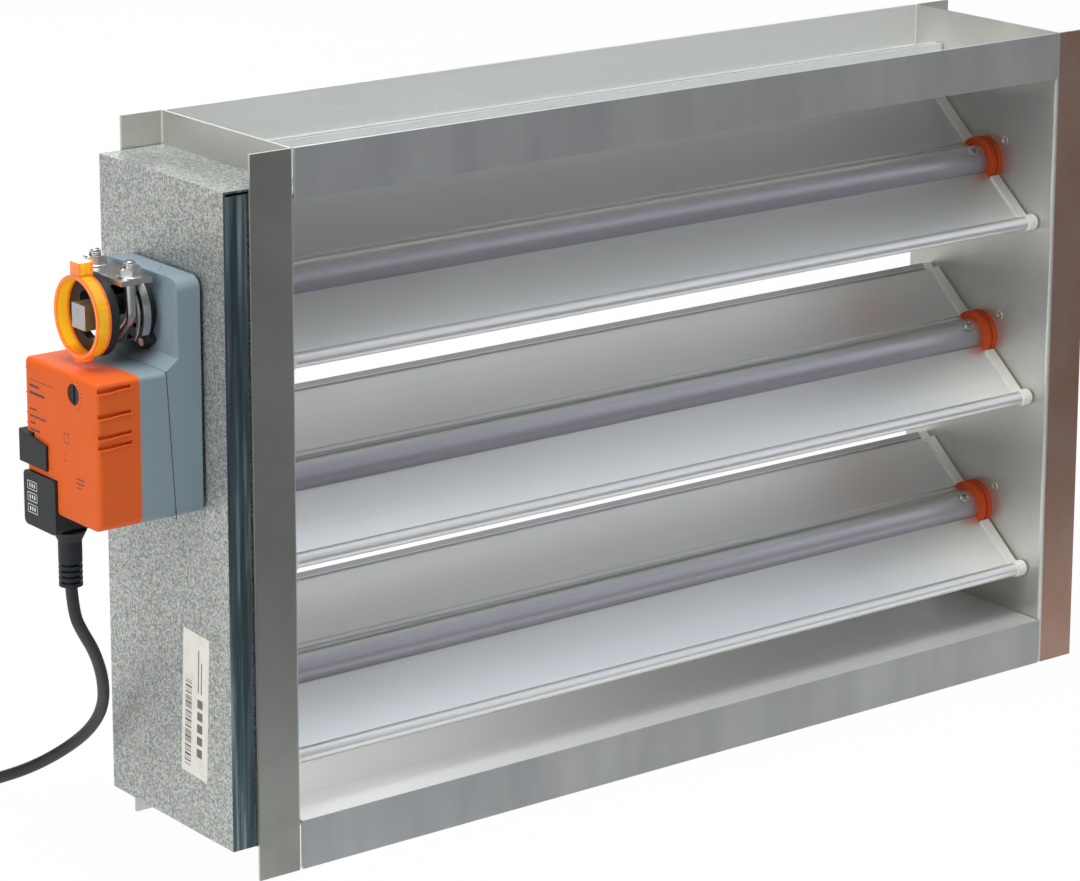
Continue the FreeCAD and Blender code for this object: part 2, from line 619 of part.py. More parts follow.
def blade(label, row):
    """Extruded blade with a central tube, a round bead below and an offset lip above."""
    at = ("middle_x - blade_end", "pivot_y", "middle_z + %s * blade_pitch" % row)
    piece = Piece(label, at, Vector(-1, 0, 0), "blade_tilt")
    span = "2 * blade_end"
    half = "blade_skin / 2"
    shoulder = "upper_reach - lip_height"
    piece.pad(piece.outline("YZ", [
        ("0 - " + half, "0 - bead_place"), (half, "0 - bead_place"), (half, shoulder + " - blade_skin"),
        ("lip_set_back + lip_thickness", shoulder + " - blade_skin"),
        ("lip_set_back + lip_thickness", "upper_reach"),
        ("lip_set_back", "upper_reach"), ("lip_set_back", "upper_reach - groove_drop"),
        ("lip_set_back + groove_depth", "upper_reach - groove_drop"),
        ("lip_set_back + groove_depth", "upper_reach - groove_drop - groove_height"),
        ("lip_set_back", "upper_reach - groove_drop - groove_height"), ("lip_set_back", shoulder),
        ("0 - " + half, shoulder),
    ]), span)
    piece.pad(piece.circles("YZ", [("0", "0", "tube_diameter")]), span)
    piece.pad(piece.circles("YZ", [("0 - bead_forward", "0 - bead_place", "bead_diameter")]), span)
    for ridge in ("ridge_first", "ridge_second"):
        piece.pad(piece.outline("YZ", [
            ("0", ridge + " - ridge_width / 2"), ("0", ridge + " + ridge_width / 2"),
            ("0 - %s - ridge_height" % half, ridge + " + ridge_width / 3"),
            ("0 - %s - ridge_height" % half, ridge + " - ridge_width / 3"),
        ]), span)
    piece.pocket(piece.circles("YZ", [("0", "0", "tube_bore")]), span)
    spots = [("blade_screw_inset", "0", "blade_screw + 2 * seat_clearance"),
             ("2 * blade_end - blade_screw_inset", "0", "blade_screw + 2 * seat_clearance")]
    piece.pocket(piece.circles("XZ", spots), "tube_diameter")


def on_blade(item, row):
    """Places a thing that is drawn about a closed blade's pivot at the middle of the duct."""
    at = ("middle_x", "pivot_y", "middle_z + %s * blade_pitch" % row)
    return place(item, at, Vector(-1, 0, 0), "blade_tilt")


def hubs(label, row):
    """One hub at each end: disc, journal, spigot in the blade tube and a square socket."""
    items = []
    for side, way, outward in (("left", "-1", "-x"), ("right", "1", "x")):
        name = "%s_%s" % (label, side)
        end = "%s * blade_end" % way
        disc = rod(name + "_disc", (end, "0", "0"), outward, "hub_diameter", "hub_disc")
        journal = rod(name + "_journal", (end, "0", "0"), outward, "stub_diameter", "hub_disc + stub_length")
        spigot = rod(name + "_spigot", ("%s * (blade_end - spigot_length)" % way, "0", "0"), outward,
                     "tube_bore - 2 * seat_clearance", "spigot_length + hub_disc")
        flats = "shaft_square + 2 * seat_clearance"
        mouth = "blade_end + hub_disc + stub_length - shaft_grip"
        low = mouth if way == "1" else "0 - (blade_end + hub_disc + stub_length)"
        socket = box(name + "_socket", (low, "0 - (%s) / 2" % flats, "0 - (%s) / 2" % flats),
                     ("shaft_grip", flats, flats))
        turned = place(group(name + "_turned", [socket]), ("0", "0", "0"), AXES["x"], "blade_tilt")
        screw = rod(name + "_screw", ("%s * (blade_end - blade_screw_inset)" % way, "0", "0"), "-y",
                    "blade_screw + 2 * seat_clearance", "tube_diameter")
        solid = join(name + "_solid", [disc, journal, spigot])
        items.append(cut(name, solid, [turned, screw]))
    sub_part(on_blade(group(label + "_group", items), row), label)


def end_seals(label, row):
    """White seals on both blade ends: strips that end in a knob over the lip and the bead."""
    items = []
    for side, low in (("left", "0 - blade_end - seal_thickness"), ("right", "blade_end")):
        before = "%s - seal_thickness" % low
        through = "3 * seal_thickness"
        upper = label + "_upper_" + side
        knob_z = "upper_reach - seal_top_knob / 2"
        strip = box(upper + "_strip", (low, "0 - seal_width / 2", "0"),
                    ("seal_thickness", "seal_width", knob_z))
        knob = rod(upper + "_knob", (low, "lip_middle", knob_z), "x", "seal_top_knob", "seal_thickness")
        clear = "blade_pitch - bead_place - seal_bottom_knob / 2 - seal_gap"
        front = box(upper + "_front", (before, "0 - seal_top_knob", clear),
                    (through, "seal_top_knob + lip_set_back", "2 * seal_top_knob"))
        hole = rod(upper + "_hole", (before, "0", "0"), "x", "hub_diameter + 2 * seal_gap", through)
        items.append(cut(upper, join(upper + "_solid", [strip, knob]), [front, hole]))
        lower = label + "_lower_" + side
        strip = box(lower + "_strip", (low, "0 - seal_width / 2", "0 - bead_place"),
                    ("seal_thickness", "seal_width", "bead_place"))
        knob = rod(lower + "_knob", (low, "0 - bead_forward", "0 - bead_place"), "x", "seal_bottom_knob",
                   "seal_thickness")
        back = box(lower + "_back", (before, "blade_skin / 2", "0 - bead_place - seal_bottom_knob"),
                   (through, "seal_bottom_knob", "2 * seal_bottom_knob"))
        hole = rod(lower + "_hole", (before, "0", "0"), "x", "hub_diameter + 2 * seal_gap", through)
        items.append(cut(lower, join(lower + "_solid", [strip, knob]), [back, hole]))
    sub_part(on_blade(group(label + "_group", items), row), label)


def blade_screws(label, row):
    screws = []
    for side, way in (("left", "-1"), ("right", "1")):
        start = ("%s * (blade_end - blade_screw_inset)" % way, "0 - tube_diameter / 2", "0")
        screws.append(pan_screw("%s_%s" % (label, side), start, "y", "blade_screw", "blade_screw_head",
                                "blade_screw_rise", "blade_screw_length"))
    sub_part(on_blade(group(label + "_group", screws), row), label)


def square_shaft(label, row, end):
    """Square bar from the hub's socket outwards to its end."""
    height = "middle_z + %s * blade_pitch" % row
    start = "hub_end + shaft_grip"
    bar = box(label, (end, "pivot_y - shaft_square / 2", height + " - shaft_square / 2"),
              ("(%s) - (%s)" % (start, end), "shaft_square", "shaft_square"))
    sub_part(bar, label)


def crank(number_of_blade, row):
    """Crank on the square shaft with a riveted pin, and a clip in the pin's groove."""
    label = "crank_%s" % number_of_blade
    height = "middle_z + %s * blade_pitch" % row
    piece = Piece(label, at=("crank_outer", "pivot_y", height))
    piece.pad(piece.outline("YZ", [
        ("0", "0 - crank_eye / 2"), ("crank_radius", "0 - crank_tip / 2"), ("crank_radius", "crank_tip / 2"),
        ("0", "crank_eye / 2"),
    ]), "crank_thickness")
    piece.pad(piece.circles("YZ", [("0", "0", "crank_eye")]), "crank_thickness")
    piece.pad(piece.circles("YZ", [("crank_radius", "0", "crank_tip")]), "crank_thickness")
    side = "shaft_square / 2 + seat_clearance"
    other = "0 - (%s)" % side
    piece.pocket(piece.outline("YZ", rectangle(other, other, side, side)), "crank_thickness")
    hole = ("crank_radius", "0", "pin_diameter + 2 * seat_clearance")
    piece.pocket(piece.circles("YZ", [hole]), "crank_thickness")

    pin = label + "_pin"
    tail = "clip_face - clip_thickness - pin_tail"
    head = rod(pin + "_head", ("crank_face", "pin_y", height), "x", "pin_head_diameter", "pin_head")
    shank = rod(pin + "_shank", (tail, "pin_y", height), "x", "pin_diameter", "crank_face - (%s)" % tail)
    groove_low = ("clip_face - clip_thickness", "pin_y", height)
    ring = rod(pin + "_ring", groove_low, "x", "2 * pin_diameter", "clip_thickness")
    core = rod(pin + "_core", groove_low, "x", "pin_diameter - 2 * clip_groove", "clip_thickness")
    turned = cut(pin + "_turned", join(pin + "_solid", [head, shank]), [cut(pin + "_groove", ring, [core])])
    clip = cut(pin + "_clip", rod(pin + "_clip_disc", groove_low, "x", "clip_diameter", "clip_thickness"), [
        rod(pin + "_clip_hole", groove_low, "x", "pin_diameter - 2 * clip_groove + 2 * seat_clearance",
            "clip_thickness")])
    sub_part(group(pin + "_group", [turned, clip]), pin)


def tie_bar():
    bar = Piece("tie_bar", at=("bar_outer", "pin_y", "middle_z"))
    end = "blade_pitch + bar_end"
    bar.pad(bar.outline("YZ", rectangle("0 - bar_width / 2", "0 - (%s)" % end, "bar_width / 2", end)),
            "bar_thickness")
    holes = [("0", "%s * blade_pitch" % row, "pin_diameter + 2 * pin_clearance") for row in BLADES.values()]
    bar.pocket(bar.circles("YZ", holes), "bar_thickness")
    bar.fillet("bar_width / 3", lambda line, middle: near(abs(line.x), 1))


def linkage_cover():
    """Folded box over the linkage, open towards the side plate, with two turned screw tabs."""
    depth = "cover_projection - side_sheet"
    height = "cover_top - cover_bottom"
    half = "cover_depth / 2"
    skin = "cover_sheet"
    cover = Piece("linkage_cover", at=("cover_face", "0", "cover_bottom"))
    cover.pad(cover.outline("XZ", [
        ("0", "0"), (depth, "0"), (depth, skin), (skin, skin), (skin, "%s - %s" % (height, skin)),
        (depth, "%s - %s" % (height, skin)), (depth, height), ("0", height),
    ], "0 - (%s)" % half), "cover_depth")
    tabs = "cover_tab_width"
    for low, high in (("0", "cover_tab"), (height + " - cover_tab", height)):
        cover.pad(cover.outline("XZ", rectangle("%s - %s" % (depth, skin), low, depth, high),
                                "0 - (%s) / 2" % tabs), tabs)
    wall = "(%s) - 2 * cover_sheet - cover_slot" % height
    for way in ("-1", "1"):
        outside = "%s * (%s)" % (way, half)
        inside = "%s * (%s - %s)" % (way, half, skin)
        step = "%s * (%s - cover_step)" % (way, half)
        step_inside = "%s * (%s - cover_step - %s)" % (way, half, skin)
        cover.pad(cover.outline("XY", [
            ("0", outside), ("cover_lip", outside), ("cover_lip", step), (depth, step), (depth, step_inside),
            ("cover_lip - " + skin, step_inside), ("cover_lip - " + skin, inside), ("0", inside),
        ], skin), wall)
    cover.pocket(cover.circles("YZ", [("pivot_y", "top_z - cover_bottom", "shaft_hole"),
                                      ("pivot_y", "case_bottom + stay_rise - cover_bottom",
                                       "stay_diameter + 2 * seat_clearance")]), "2 * cover_sheet")
    screws = []
    for way in ("-1", "1"):
        for rise in ("(%s) - cover_screw_inset" % height, "cover_screw_inset"):
            screws.append(("%s * cover_screw_spacing / 2" % way, rise, "cover_screw + 2 * seat_clearance"))
    cover.pocket(cover.circles("YZ", screws, "%s - 2 * %s" % (depth, skin)), "3 * cover_sheet")
    cover_screws = []
    rises = {"top": "cover_top - cover_screw_inset", "bottom": "cover_bottom + cover_screw_inset"}
    for side, way in (("front", "-1"), ("back", "1")):
        for row, rise in rises.items():
            start = ("left_face", "%s * cover_screw_spacing / 2" % way, rise)
            cover_screws.append(pan_screw(
                "cover_screw_%s_%s" % (side, row), start, "-x", "cover_screw", "cover_screw_head",
                "cover_screw_rise", "cover_screw_length"))
    sub_part(group("cover_screws_group", cover_screws), "cover_screws")


def stay_pin():
    """Shouldered pin in the cover that keeps the actuator from turning about its shaft."""
    at = ("cover_face + cover_sheet", "pivot_y", "case_bottom + stay_rise")
    head = rod("stay_head_disc", at, "x", "stay_head", "stay_diameter / 2")
    shank = rod("stay_shank", at, "-x", "stay_diameter", "cover_sheet + case_gap + case_wall")
    sub_part(join("stay_pin_solid", [head, shank]), "stay_pin")


def round_case(piece, top):
    """Rounds the case's four long corners."""
    half = number("case_half")
    levels = (number("0 - case_below"), number(top))
    piece.fillet("case_corner", lambda line, middle: near(abs(line.x), 1) and near(
        abs(middle.y), half) and any(near(middle.z, level) for level in levels))


def boss_spots(diameter):
    """Four screw places near the corners of the case body."""
    spots = []
    for across in ("0 - (case_half - boss_inset)", "case_half - boss_inset"):
        for up in ("boss_inset - case_below", "0 - step_end - boss_inset"):
            spots.append((across, up, diameter))
    return spots


def rear_shell():
    """Grey rear shell: a thin neck around the shaft and a deeper body with a sloping seam."""
    wall = "case_wall"
    shell = Piece("actuator_rear_shell", at=("case_back", "pivot_y", "top_z"))
    shell.pad(shell.outline("XZ", [
        ("0", "0 - case_below"), ("0", "case_above"), ("0 - neck_depth", "case_above"),
        ("0 - neck_depth", "0 - step_start"), ("0 - seam_upper", "0 - step_end"),
        ("0 - seam_lower", "0 - case_below"),
    ], "0 - case_half"), "case_width")
    round_case(shell, "case_above")
    shell.pocket(shell.outline("XZ", [
        ("0 - " + wall, wall + " - case_below"), ("0 - " + wall, "case_above - " + wall),
        (wall + " - neck_depth", "case_above - " + wall),
        (wall + " - neck_depth", "0 - step_start - " + wall), ("0 - seam_upper", "0 - step_end - " + wall),
        ("0 - 2 * seam_upper", "0 - step_end - " + wall),
        ("0 - 2 * seam_upper", wall + " - case_below"),
    ], wall + " - case_half"), "case_width - 2 * case_wall")
    for spot in boss_spots("boss_diameter"):
        shell.pad(shell.circles("YZ", [spot], "0 - plate_depth"), "plate_depth - case_wall / 2")
    shell.pocket(shell.circles("YZ", boss_spots("case_screw + 2 * seat_clearance"), "0 - 2 * plate_depth"),
                 "3 * plate_depth")
    bearing = ("0", "0", "sleeve_diameter + 2 * running_clearance")
    shell.pocket(shell.circles("YZ", [bearing], "0 - 2 * neck_depth"), "3 * neck_depth")
    spots = [polar("stop_centre", "0", "0 - (opening_stop)"), polar("stop_centre", "0", "closing_stop")]
    shell.pocket(shell.circles("YZ", [spot + ("stop_screw + 2 * seat_clearance",) for spot in spots],
                               "0 - 2 * neck_depth"), "2 * neck_depth - 2 * case_wall")
    slot = "stay_diameter / 2 + seat_clearance"
    middle = "stay_rise - case_below"
    shell.pocket(shell.outline("YZ", rectangle(
        "0 - (%s)" % slot, middle + " - stay_slot / 2", slot, middle + " + stay_slot / 2",
    ), "0 - 2 * case_wall"), "3 * case_wall")
    return shell


def front_shell():
    """Grey front shell: a ring of walls between the seam and the orange cover, with screw bosses."""
    shell = Piece("actuator_front_shell", at=("case_back", "pivot_y", "top_z"))
    shell.pad(shell.outline("XZ", [
        ("0 - seam_lower", "0 - case_below"), ("0 - seam_upper", "0 - step_end"),
        ("0 - shell_depth", "0 - step_end"), ("0 - shell_depth", "0 - case_below"),
    ], "0 - case_half"), "case_width")
    half = number("case_half")
    low = number("0 - case_below")
    shell.fillet("case_corner", lambda line, middle: near(abs(line.x), 1) and near(
        abs(middle.y), half) and near(middle.z, low))
    shell.pocket(shell.outline("XZ", rectangle(
        "0 - 2 * shell_depth", "case_wall - case_below", "0", "0 - step_end - case_wall",
    ), "case_wall - case_half"), "case_width - 2 * case_wall")
    top = number("0 - step_end")
    shell.fillet("case_edge", lambda line, middle: near(abs(line.x), 1) and near(
        abs(middle.y), half) and near(middle.z, top))
    shell.pad(shell.circles("YZ", boss_spots("boss_diameter"), "0 - shell_depth"), "shell_depth - seam_upper")
    shell.pocket(shell.circles("YZ", boss_spots("case_screw + 2 * seat_clearance"), "0 - case_screw_length"),
                 "case_screw_length")
    return shell


def actuator_cover():
    """Orange front shell with slots, a switch opening, and room for the button and terminals."""
    cover = Piece("actuator_cover", at=("case_back", "pivot_y", "top_z"))
    cover.pad(cover.outline("XZ", rectangle(
        "0 - case_depth", "0 - case_below", "0 - shell_depth", "0 - step_end",
    ), "0 - case_half"), "case_width")
    half = number("case_half")
    low = number("0 - case_below")
    top = number("0 - step_end")
    front = number("0 - case_depth")
    cover.fillet("case_corner", lambda line, middle: near(abs(line.x), 1) and near(
        abs(middle.y), half) and near(middle.z, low))
    cover.fillet("case_edge", lambda line, middle: near(abs(line.x), 1) and near(
        abs(middle.y), half) and near(middle.z, top))
    cover.fillet("case_edge", lambda line, middle: near(abs(line.z), 1) and near(
        abs(middle.y), half) and near(middle.x, front))
    cover.pocket(cover.outline("XZ", rectangle(
        "case_wall - case_depth", "case_wall - case_below", "0", "0 - step_end - case_wall",
    ), "case_wall - case_half"), "case_width - 2 * case_wall")
    for drop in ("vent_first", "vent_second", "vent_third", "vent_fourth"):
        slot = rectangle("vent_start - case_depth", "0 - step_end - %s - vent_height / 2" % drop,
                         "vent_start - case_depth + vent_length", "0 - step_end - %s + vent_height / 2" % drop)
        cover.pocket(cover.outline("XZ", slot, "case_half - vent_recess"), "vent_recess")
        cover.pocket(cover.outline("XZ", slot, "0 - case_half"), "vent_recess")
    cover.pocket(cover.outline("YZ", rectangle(
        "notch_side - notch_gap", "0 - case_below", "case_half", "notch_height - case_below",
    ), "0 - case_depth"), "terminal_depth - terminal_stand + notch_gap")
    low, high, inner = button_room("slide_gap")
    cover.pocket(cover.outline("YZ", rectangle(inner + " - button_travel", low, "case_half", high),
                               "0 - case_depth"), "button_skirt - button_plate")
    knob = ("0 - switch_side", "0 - switch_below")
    cover.pad(cover.circles("YZ", [knob + ("switch_diameter + 2 * case_wall",)], "case_wall - case_depth"),
              "switch_height")
    cover.pocket(cover.circles("YZ", [knob + ("switch_diameter + 2 * running_clearance",)], "0 - case_depth"),
                 "case_wall + switch_height")


def button_room(gap):
    """Lower edge, upper edge and inner face of the release button's block, with a gap round it."""
    low = "button_low - case_below - %s" % gap
    high = "button_low + button_outer_height - case_below + %s" % gap
    inner = "case_half + button_stand - button_block - %s" % gap
    return low, high, inner


def terminal_cover():
    """Black cover over the terminals in the case's lower corner."""
    cover = Piece("terminal_cover", at=("case_back", "pivot_y", "top_z"))
    low = "0 - case_below - terminal_drop"
    high = "notch_height - case_below - notch_gap"
    outside = "case_half + terminal_side"
    front = "0 - case_depth - terminal_stand"
    cover.pad(cover.outline("YZ", rectangle("notch_side", low, outside, high), front), "terminal_depth")
    cover.fillet("terminal_corner", lambda line, middle: near(abs(line.x), 1))
    cover.pocket(cover.outline("YZ", rectangle(
        "notch_side + terminal_wall", "case_wall - case_below", outside + " - terminal_wall",
        high + " - terminal_wall",
    ), front + " + terminal_wall"), "terminal_depth")


def strain_relief():
    """Tapered and ribbed strain relief under the terminal cover."""
    items = []
    collar = doc.addObject("Part::Cone", "relief_collar_cone")
    bind(collar, "Radius1", "relief_diameter / 2")
    bind(collar, "Radius2", "relief_collar / 2")
    bind(collar, "Height", "relief_taper")
    items.append(place(collar, ("lead_x", "lead_y", "terminal_floor - relief_taper")))
    start = "terminal_floor - relief_taper"
    items.append(rod("relief_plain", ("lead_x", "lead_y", start), "-z", "relief_diameter", "relief_body"))
    items.append(rod("relief_core_rod", ("lead_x", "lead_y", start), "-z", "relief_core",
                     "relief_length - relief_taper"))
    for rib in range(round(number("relief_ribs"))):
        height = "%s - relief_body - %d * (relief_slot + relief_rib) - relief_slot" % (start, rib)
        items.append(rod("relief_rib_%d" % (rib + 1), ("lead_x", "lead_y", height), "-z", "relief_diameter",
                         "relief_rib"))
    sub_part(join("relief_solid", items), "strain_relief")


def case_screws():
    """Four screws from the back through the rear shell and the gear plate into the front shell."""
    screws = []
    for index, (across, up, diameter) in enumerate(boss_spots("case_screw")):
        start = ("case_back", "pivot_y + " + across, "top_z + " + up)
        screws.append(pan_screw("case_screw_%d" % (index + 1), start, "-x", diameter, "case_screw_head",
                                "case_screw_rise", "case_screw_length"))
    sub_part(group("case_screws_group", screws), "case_screws")


def circuit_board():
    """Board on the front shell's upper bosses, with its larger components."""
    side = "case_half - case_wall - fit_gap"
    low = "case_bottom + notch_height + case_wall"
    high = "top_z - step_end - case_wall - case_edge"
    face = "case_back - shell_depth - board_thickness"
    items = [box("board_sheet", (face, "pivot_y - (%s)" % side, low),
                 ("board_thickness", "2 * (%s)" % side, "%s - (%s)" % (high, low)))]
    items.append(rod("board_capacitor", (face, "pivot_y + capacitor_diameter", "second_z"), "-x",
                     "capacitor_diameter", "capacitor_length"))
    items.append(box("board_relay", ("%s - relay_depth" % face, "pivot_y - case_half / 2", low),
                     ("relay_depth", "relay_width", "relay_width")))
    sub_part(join("board_solid", items), "circuit_board")


def gear_plate():
    """Steel plate on the rear shell's bosses that holds the axles and the motor."""
    plate = Piece("gear_plate", at=("case_back", "pivot_y", "top_z"))
    side = "case_half - case_wall - fit_gap"
    corner = "case_corner"
    low = "case_wall + fit_gap - case_below"
    plate.pad(plate.outline("YZ", [
        ("%s - (%s)" % (corner, side), low), ("%s - %s" % (side, corner), low),
        (side, "%s + %s" % (low, corner)), (side, "0 - step_end - case_wall"),
        ("0 - (%s)" % side, "0 - step_end - case_wall"),
        ("0 - (%s)" % side, "%s + %s" % (low, corner)),
    ], "0 - plate_depth - plate_thickness"), "plate_thickness")
    holes = boss_spots("case_screw + 2 * seat_clearance")
    holes.append(("0", "first_z - top_z", "axle_diameter + 2 * seat_clearance"))
    holes.append(("second_y - pivot_y", "second_z - top_z", "axle_diameter + 2 * seat_clearance"))
    holes.append(("motor_y - pivot_y", "motor_z - top_z", "motor_shaft + 4 * running_clearance"))
    plate.pocket(plate.circles("YZ", holes, "0 - 2 * plate_depth"), "2 * plate_depth")


def motor_body():
    """Motor can on the gear plate, with a bearing boss at its far end."""
    start = ("case_back - plate_depth - plate_thickness", "motor_y", "motor_z")
    can = rod("motor_can", start, "-x", "motor_diameter", "motor_length")
    boss = rod("motor_boss", start, "-x", "motor_diameter / 3", "motor_length + case_wall")
    bore = rod("motor_bore", start, "-x", "motor_shaft + 2 * running_clearance", "motor_shaft_grip")
    sub_part(cut("motor_solid", join("motor_outside", [can, boss]), [bore]), "motor_body")


def gear_axles():
    axles = []
    for name, across, up in (("first", "pivot_y", "first_z"), ("second", "second_y", "second_z")):
        axles.append(rod(name + "_axle", ("case_back - case_wall", across, up), "-x", "axle_diameter",
                         "plate_depth + plate_thickness - case_wall"))
    sub_part(group("gear_axles_group", axles), "gear_axles")


def polar(radius, side, angle):
    """A point at a radius along an angle, moved sideways; angles in degrees."""
    return ("(%s) * cos(%s) - (%s) * sin(%s)" % (radius, angle, side, angle),
            "(%s) * sin(%s) + (%s) * cos(%s)" % (radius, angle, side, angle))


def output_hub():
    """Hollow hub that the drive shaft passes, with its stop collar and lever outside the case."""
    hub = Piece("output_hub", at=("case_back", "pivot_y", "top_z"))
    hub.pad(hub.circles("YZ", [("0", "0", "sleeve_diameter")], "0 - collar_end"), "collar_end - sleeve_start")
    hub.pad(hub.circles("YZ", [("0", "0", "collar_diameter")], "0 - collar_end"), "collar_face")
    turn = "0 - lever_angle"
    hub.pad(hub.outline("YZ", [
        polar("sleeve_diameter / 2", "0 - lever_width / 2", turn),
        polar("lever_reach", "0 - lever_width / 2", turn), polar("lever_reach", "lever_width / 2", turn),
        polar("sleeve_diameter / 2", "lever_width / 2", turn),
    ], "0 - collar_end"), "collar_face")
    hub.pocket(hub.circles("YZ", [("0", "0", "sleeve_bore")], "0 - 2 * collar_end"), "2 * collar_end")


STOPS = {"opening": (Vector(-1, 0, 0), "opening_stop"), "closing": (Vector(1, 0, 0), "closing_stop")}


def end_stops():
    """Two stops on the case's neck, clear of the lever until the ends of its travel."""
    stops = []
    screws = []
    at = ("case_back", "pivot_y", "top_z")
    reach = "(neck_depth + stop_height)"
    for name, (axis, angle) in STOPS.items():
        block = box(name + "_block", ("0 - " + reach, "stop_inner", "0 - stop_width / 2"),
                    ("stop_height", "stop_outer - stop_inner", "stop_width"))
        face = ("0 - " + reach, "stop_centre", "0")
        hole = rod(name + "_hole", face, "x", "stop_screw + 2 * seat_clearance", "stop_height")
        stop = group(name + "_stop", [cut(name + "_stop_solid", block, [hole])])
        stops.append(place(stop, at, axis, angle))
        screw = pan_screw(name + "_screw", face, "x", "stop_screw", "stop_screw_head", "stop_screw_rise",
                          "stop_height + case_wall")
        screws.append(place(group(name + "_screw_turned", [screw]), at, axis, angle))
    sub_part(group("end_stops_group", stops), "end_stops")
    sub_part(group("end_stop_screws_group", screws), "end_stop_screws")


def clamp_saddle():
    """Bent plate over the shaft: a top for the nuts and two jaws that bear on the shaft's upper flat."""
    saddle = Piece("clamp_saddle", at=("case_back", "pivot_y", "top_z"))
    back = "0 - clamp_start - clamp_length"
    under = "saddle_top - saddle_sheet"
    saddle.pad(saddle.outline("YZ", rectangle("0 - saddle_width / 2", under, "saddle_width / 2", "saddle_top"),
                              back), "clamp_length")
    jaw = rectangle("0 - saddle_jaw / 2", "shaft_square / 2 + clamp_gap", "saddle_jaw / 2",
                    under + " + saddle_sheet / 2")
    for lift in (back, "0 - clamp_start - saddle_sheet"):
        saddle.pad(saddle.outline("YZ", jaw, lift), "saddle_sheet")
    holes = [("0 - clamp_middle", "%s * bolt_spacing / 2" % way, "bolt_diameter + 2 * seat_clearance")
             for way in ("-1", "1")]
    saddle.pocket(saddle.circles("XY", holes, under + " - saddle_sheet"), "3 * saddle_sheet")


def rounded_path(points, radii):
    """Straight runs joined by tangent arcs, with one radius for each inner point."""
    edges = []
    start = points[0]
    for before, corner, after, radius in zip(points, points[1:], points[2:], radii):
        back = (before - corner).normalize()
        ahead = (after - corner).normalize()
        half = back.getAngle(ahead) / 2
        reach = radius / math.tan(half)
        inward = (back + ahead).normalize()
        first = corner + back * reach
        last = corner + ahead * reach
        middle = corner + inward * (radius / math.sin(half) - radius)
        edges.append(Part.LineSegment(start, first).toShape())
        edges.append(Part.Arc(first, middle, last).toShape())
        start = last
    edges.append(Part.LineSegment(start, points[-1]).toShape())
    return Part.Wire(edges)


def swept(points, radii, diameter):
    """A round bar along a rounded path."""
    profile = Part.Wire(Part.makeCircle(diameter / 2, points[0], points[1] - points[0]))
    return rounded_path(points, radii).makePipeShell([profile], True, False)


def clamp_bolt():
    """Bolt bent to a V that seats on the square shaft's two lower corners."""
    half = number("bolt_spacing / 2")
    apex = number("0 - shaft_square - (bolt_diameter / 2 + clamp_gap) * sqrt(2)")
    top = number("bolt_top")
    centre = Vector(number("case_back - clamp_middle"), number("pivot_y"), number("top_z"))
    corners = [(-half, top), (-half, apex + half), (0, apex), (half, apex + half), (half, top)]
    points = [centre + Vector(0, across, up) for across, up in corners]
    feature("clamp_bolt", swept(points, [number("bolt_bend")] * 3, number("bolt_diameter")))


def clamp_nuts():
    nuts = []
    for name, way in (("front", "-1"), ("back", "1")):
        at = ("case_back - clamp_middle", "pivot_y + %s * bolt_spacing / 2" % way, "top_z + saddle_top")
        prism = doc.addObject("Part::Prism", "nut_%s_hexagon" % name)
        prism.Polygon = 6
        bind(prism, "Circumradius", "nut_across / 2 / cos(30)")
        bind(prism, "Height", "nut_height")
        place(prism, at)
        flange = rod("nut_%s_flange" % name, at, "z", "nut_washer", "nut_washer_height")
        hole = rod("nut_%s_hole" % name, at, "z", "bolt_diameter + 2 * seat_clearance", "nut_height")
        nuts.append(cut("nut_%s" % name, join("nut_%s_solid" % name, [prism, flange]), [hole]))
    sub_part(group("clamp_nuts_group", nuts), "clamp_nuts")


def ring_carrier():
    """Black ring in front of the clamp, on two arms from the hub's collar."""
    carrier = Piece("ring_carrier", at=("case_back", "pivot_y", "top_z"))
    carrier.pad(carrier.circles("YZ", [("0", "0", "ring_diameter")], "0 - ring_start"), "carrier_face")
    carrier.pocket(carrier.circles("YZ", [("0", "0", "carrier_bore")], "0 - ring_start"), "carrier_face")
    near_side = "saddle_jaw / 2 + carrier_gap"
    high = "carrier_arm_low + carrier_arm_height"
    for way in ("-1", "1"):
        inside = "%s * (%s)" % (way, near_side)
        outside = "%s * (%s + carrier_arm)" % (way, near_side)
        carrier.pad(carrier.outline("YZ", rectangle(inside, "carrier_arm_low", outside, high), "0 - ring_start"),
                    "ring_start - collar_end")


def position_ring():
    """Amber ring with a pointer tab that shows where the blades are."""
    ring = Piece("position_ring", at=("case_back", "pivot_y", "top_z"))
    back = "0 - ring_start - ring_length"
    ring.pad(ring.circles("YZ", [("0", "0", "ring_diameter")], back), "ring_length")
    ring.pad(ring.outline("YZ", rectangle(
        "0 - ring_tab_width / 2", "ring_diameter / 2 - ring_wall", "ring_tab_width / 2",
        "ring_diameter / 2 + ring_tab_height",
    ), back), "ring_length")
    ring.pocket(ring.circles("YZ", [("0", "0", "ring_diameter - 2 * ring_wall")], back), "ring_length")


def involute(angle):
    return math.tan(angle) - angle


def tooth(module, teeth, centre):
    """Corners of one involute tooth as radius and angle, from its root round the tip to its root."""
    pitch = module * teeth / 2
    pressure = math.radians(number("pressure_angle"))
    base = pitch * math.cos(pressure)
    root = pitch - module * number("tooth_depth")
    tip = pitch + module * number("tooth_height")
    wide = math.pi / 2 / teeth - number("backlash") / 4 / pitch + involute(pressure)
    steps = round(number("flank_steps"))
    radii = [max(base, root) + (tip - max(base, root)) * step / steps for step in range(steps + 1)]
    side = [(radius, wide - involute(math.acos(min(1.0, base / radius)))) for radius in radii]
    side.insert(0, (root, side[0][1]))
    return [(radius, centre - half) for radius, half in side] + [
        (radius, centre + half) for radius, half in reversed(side)]


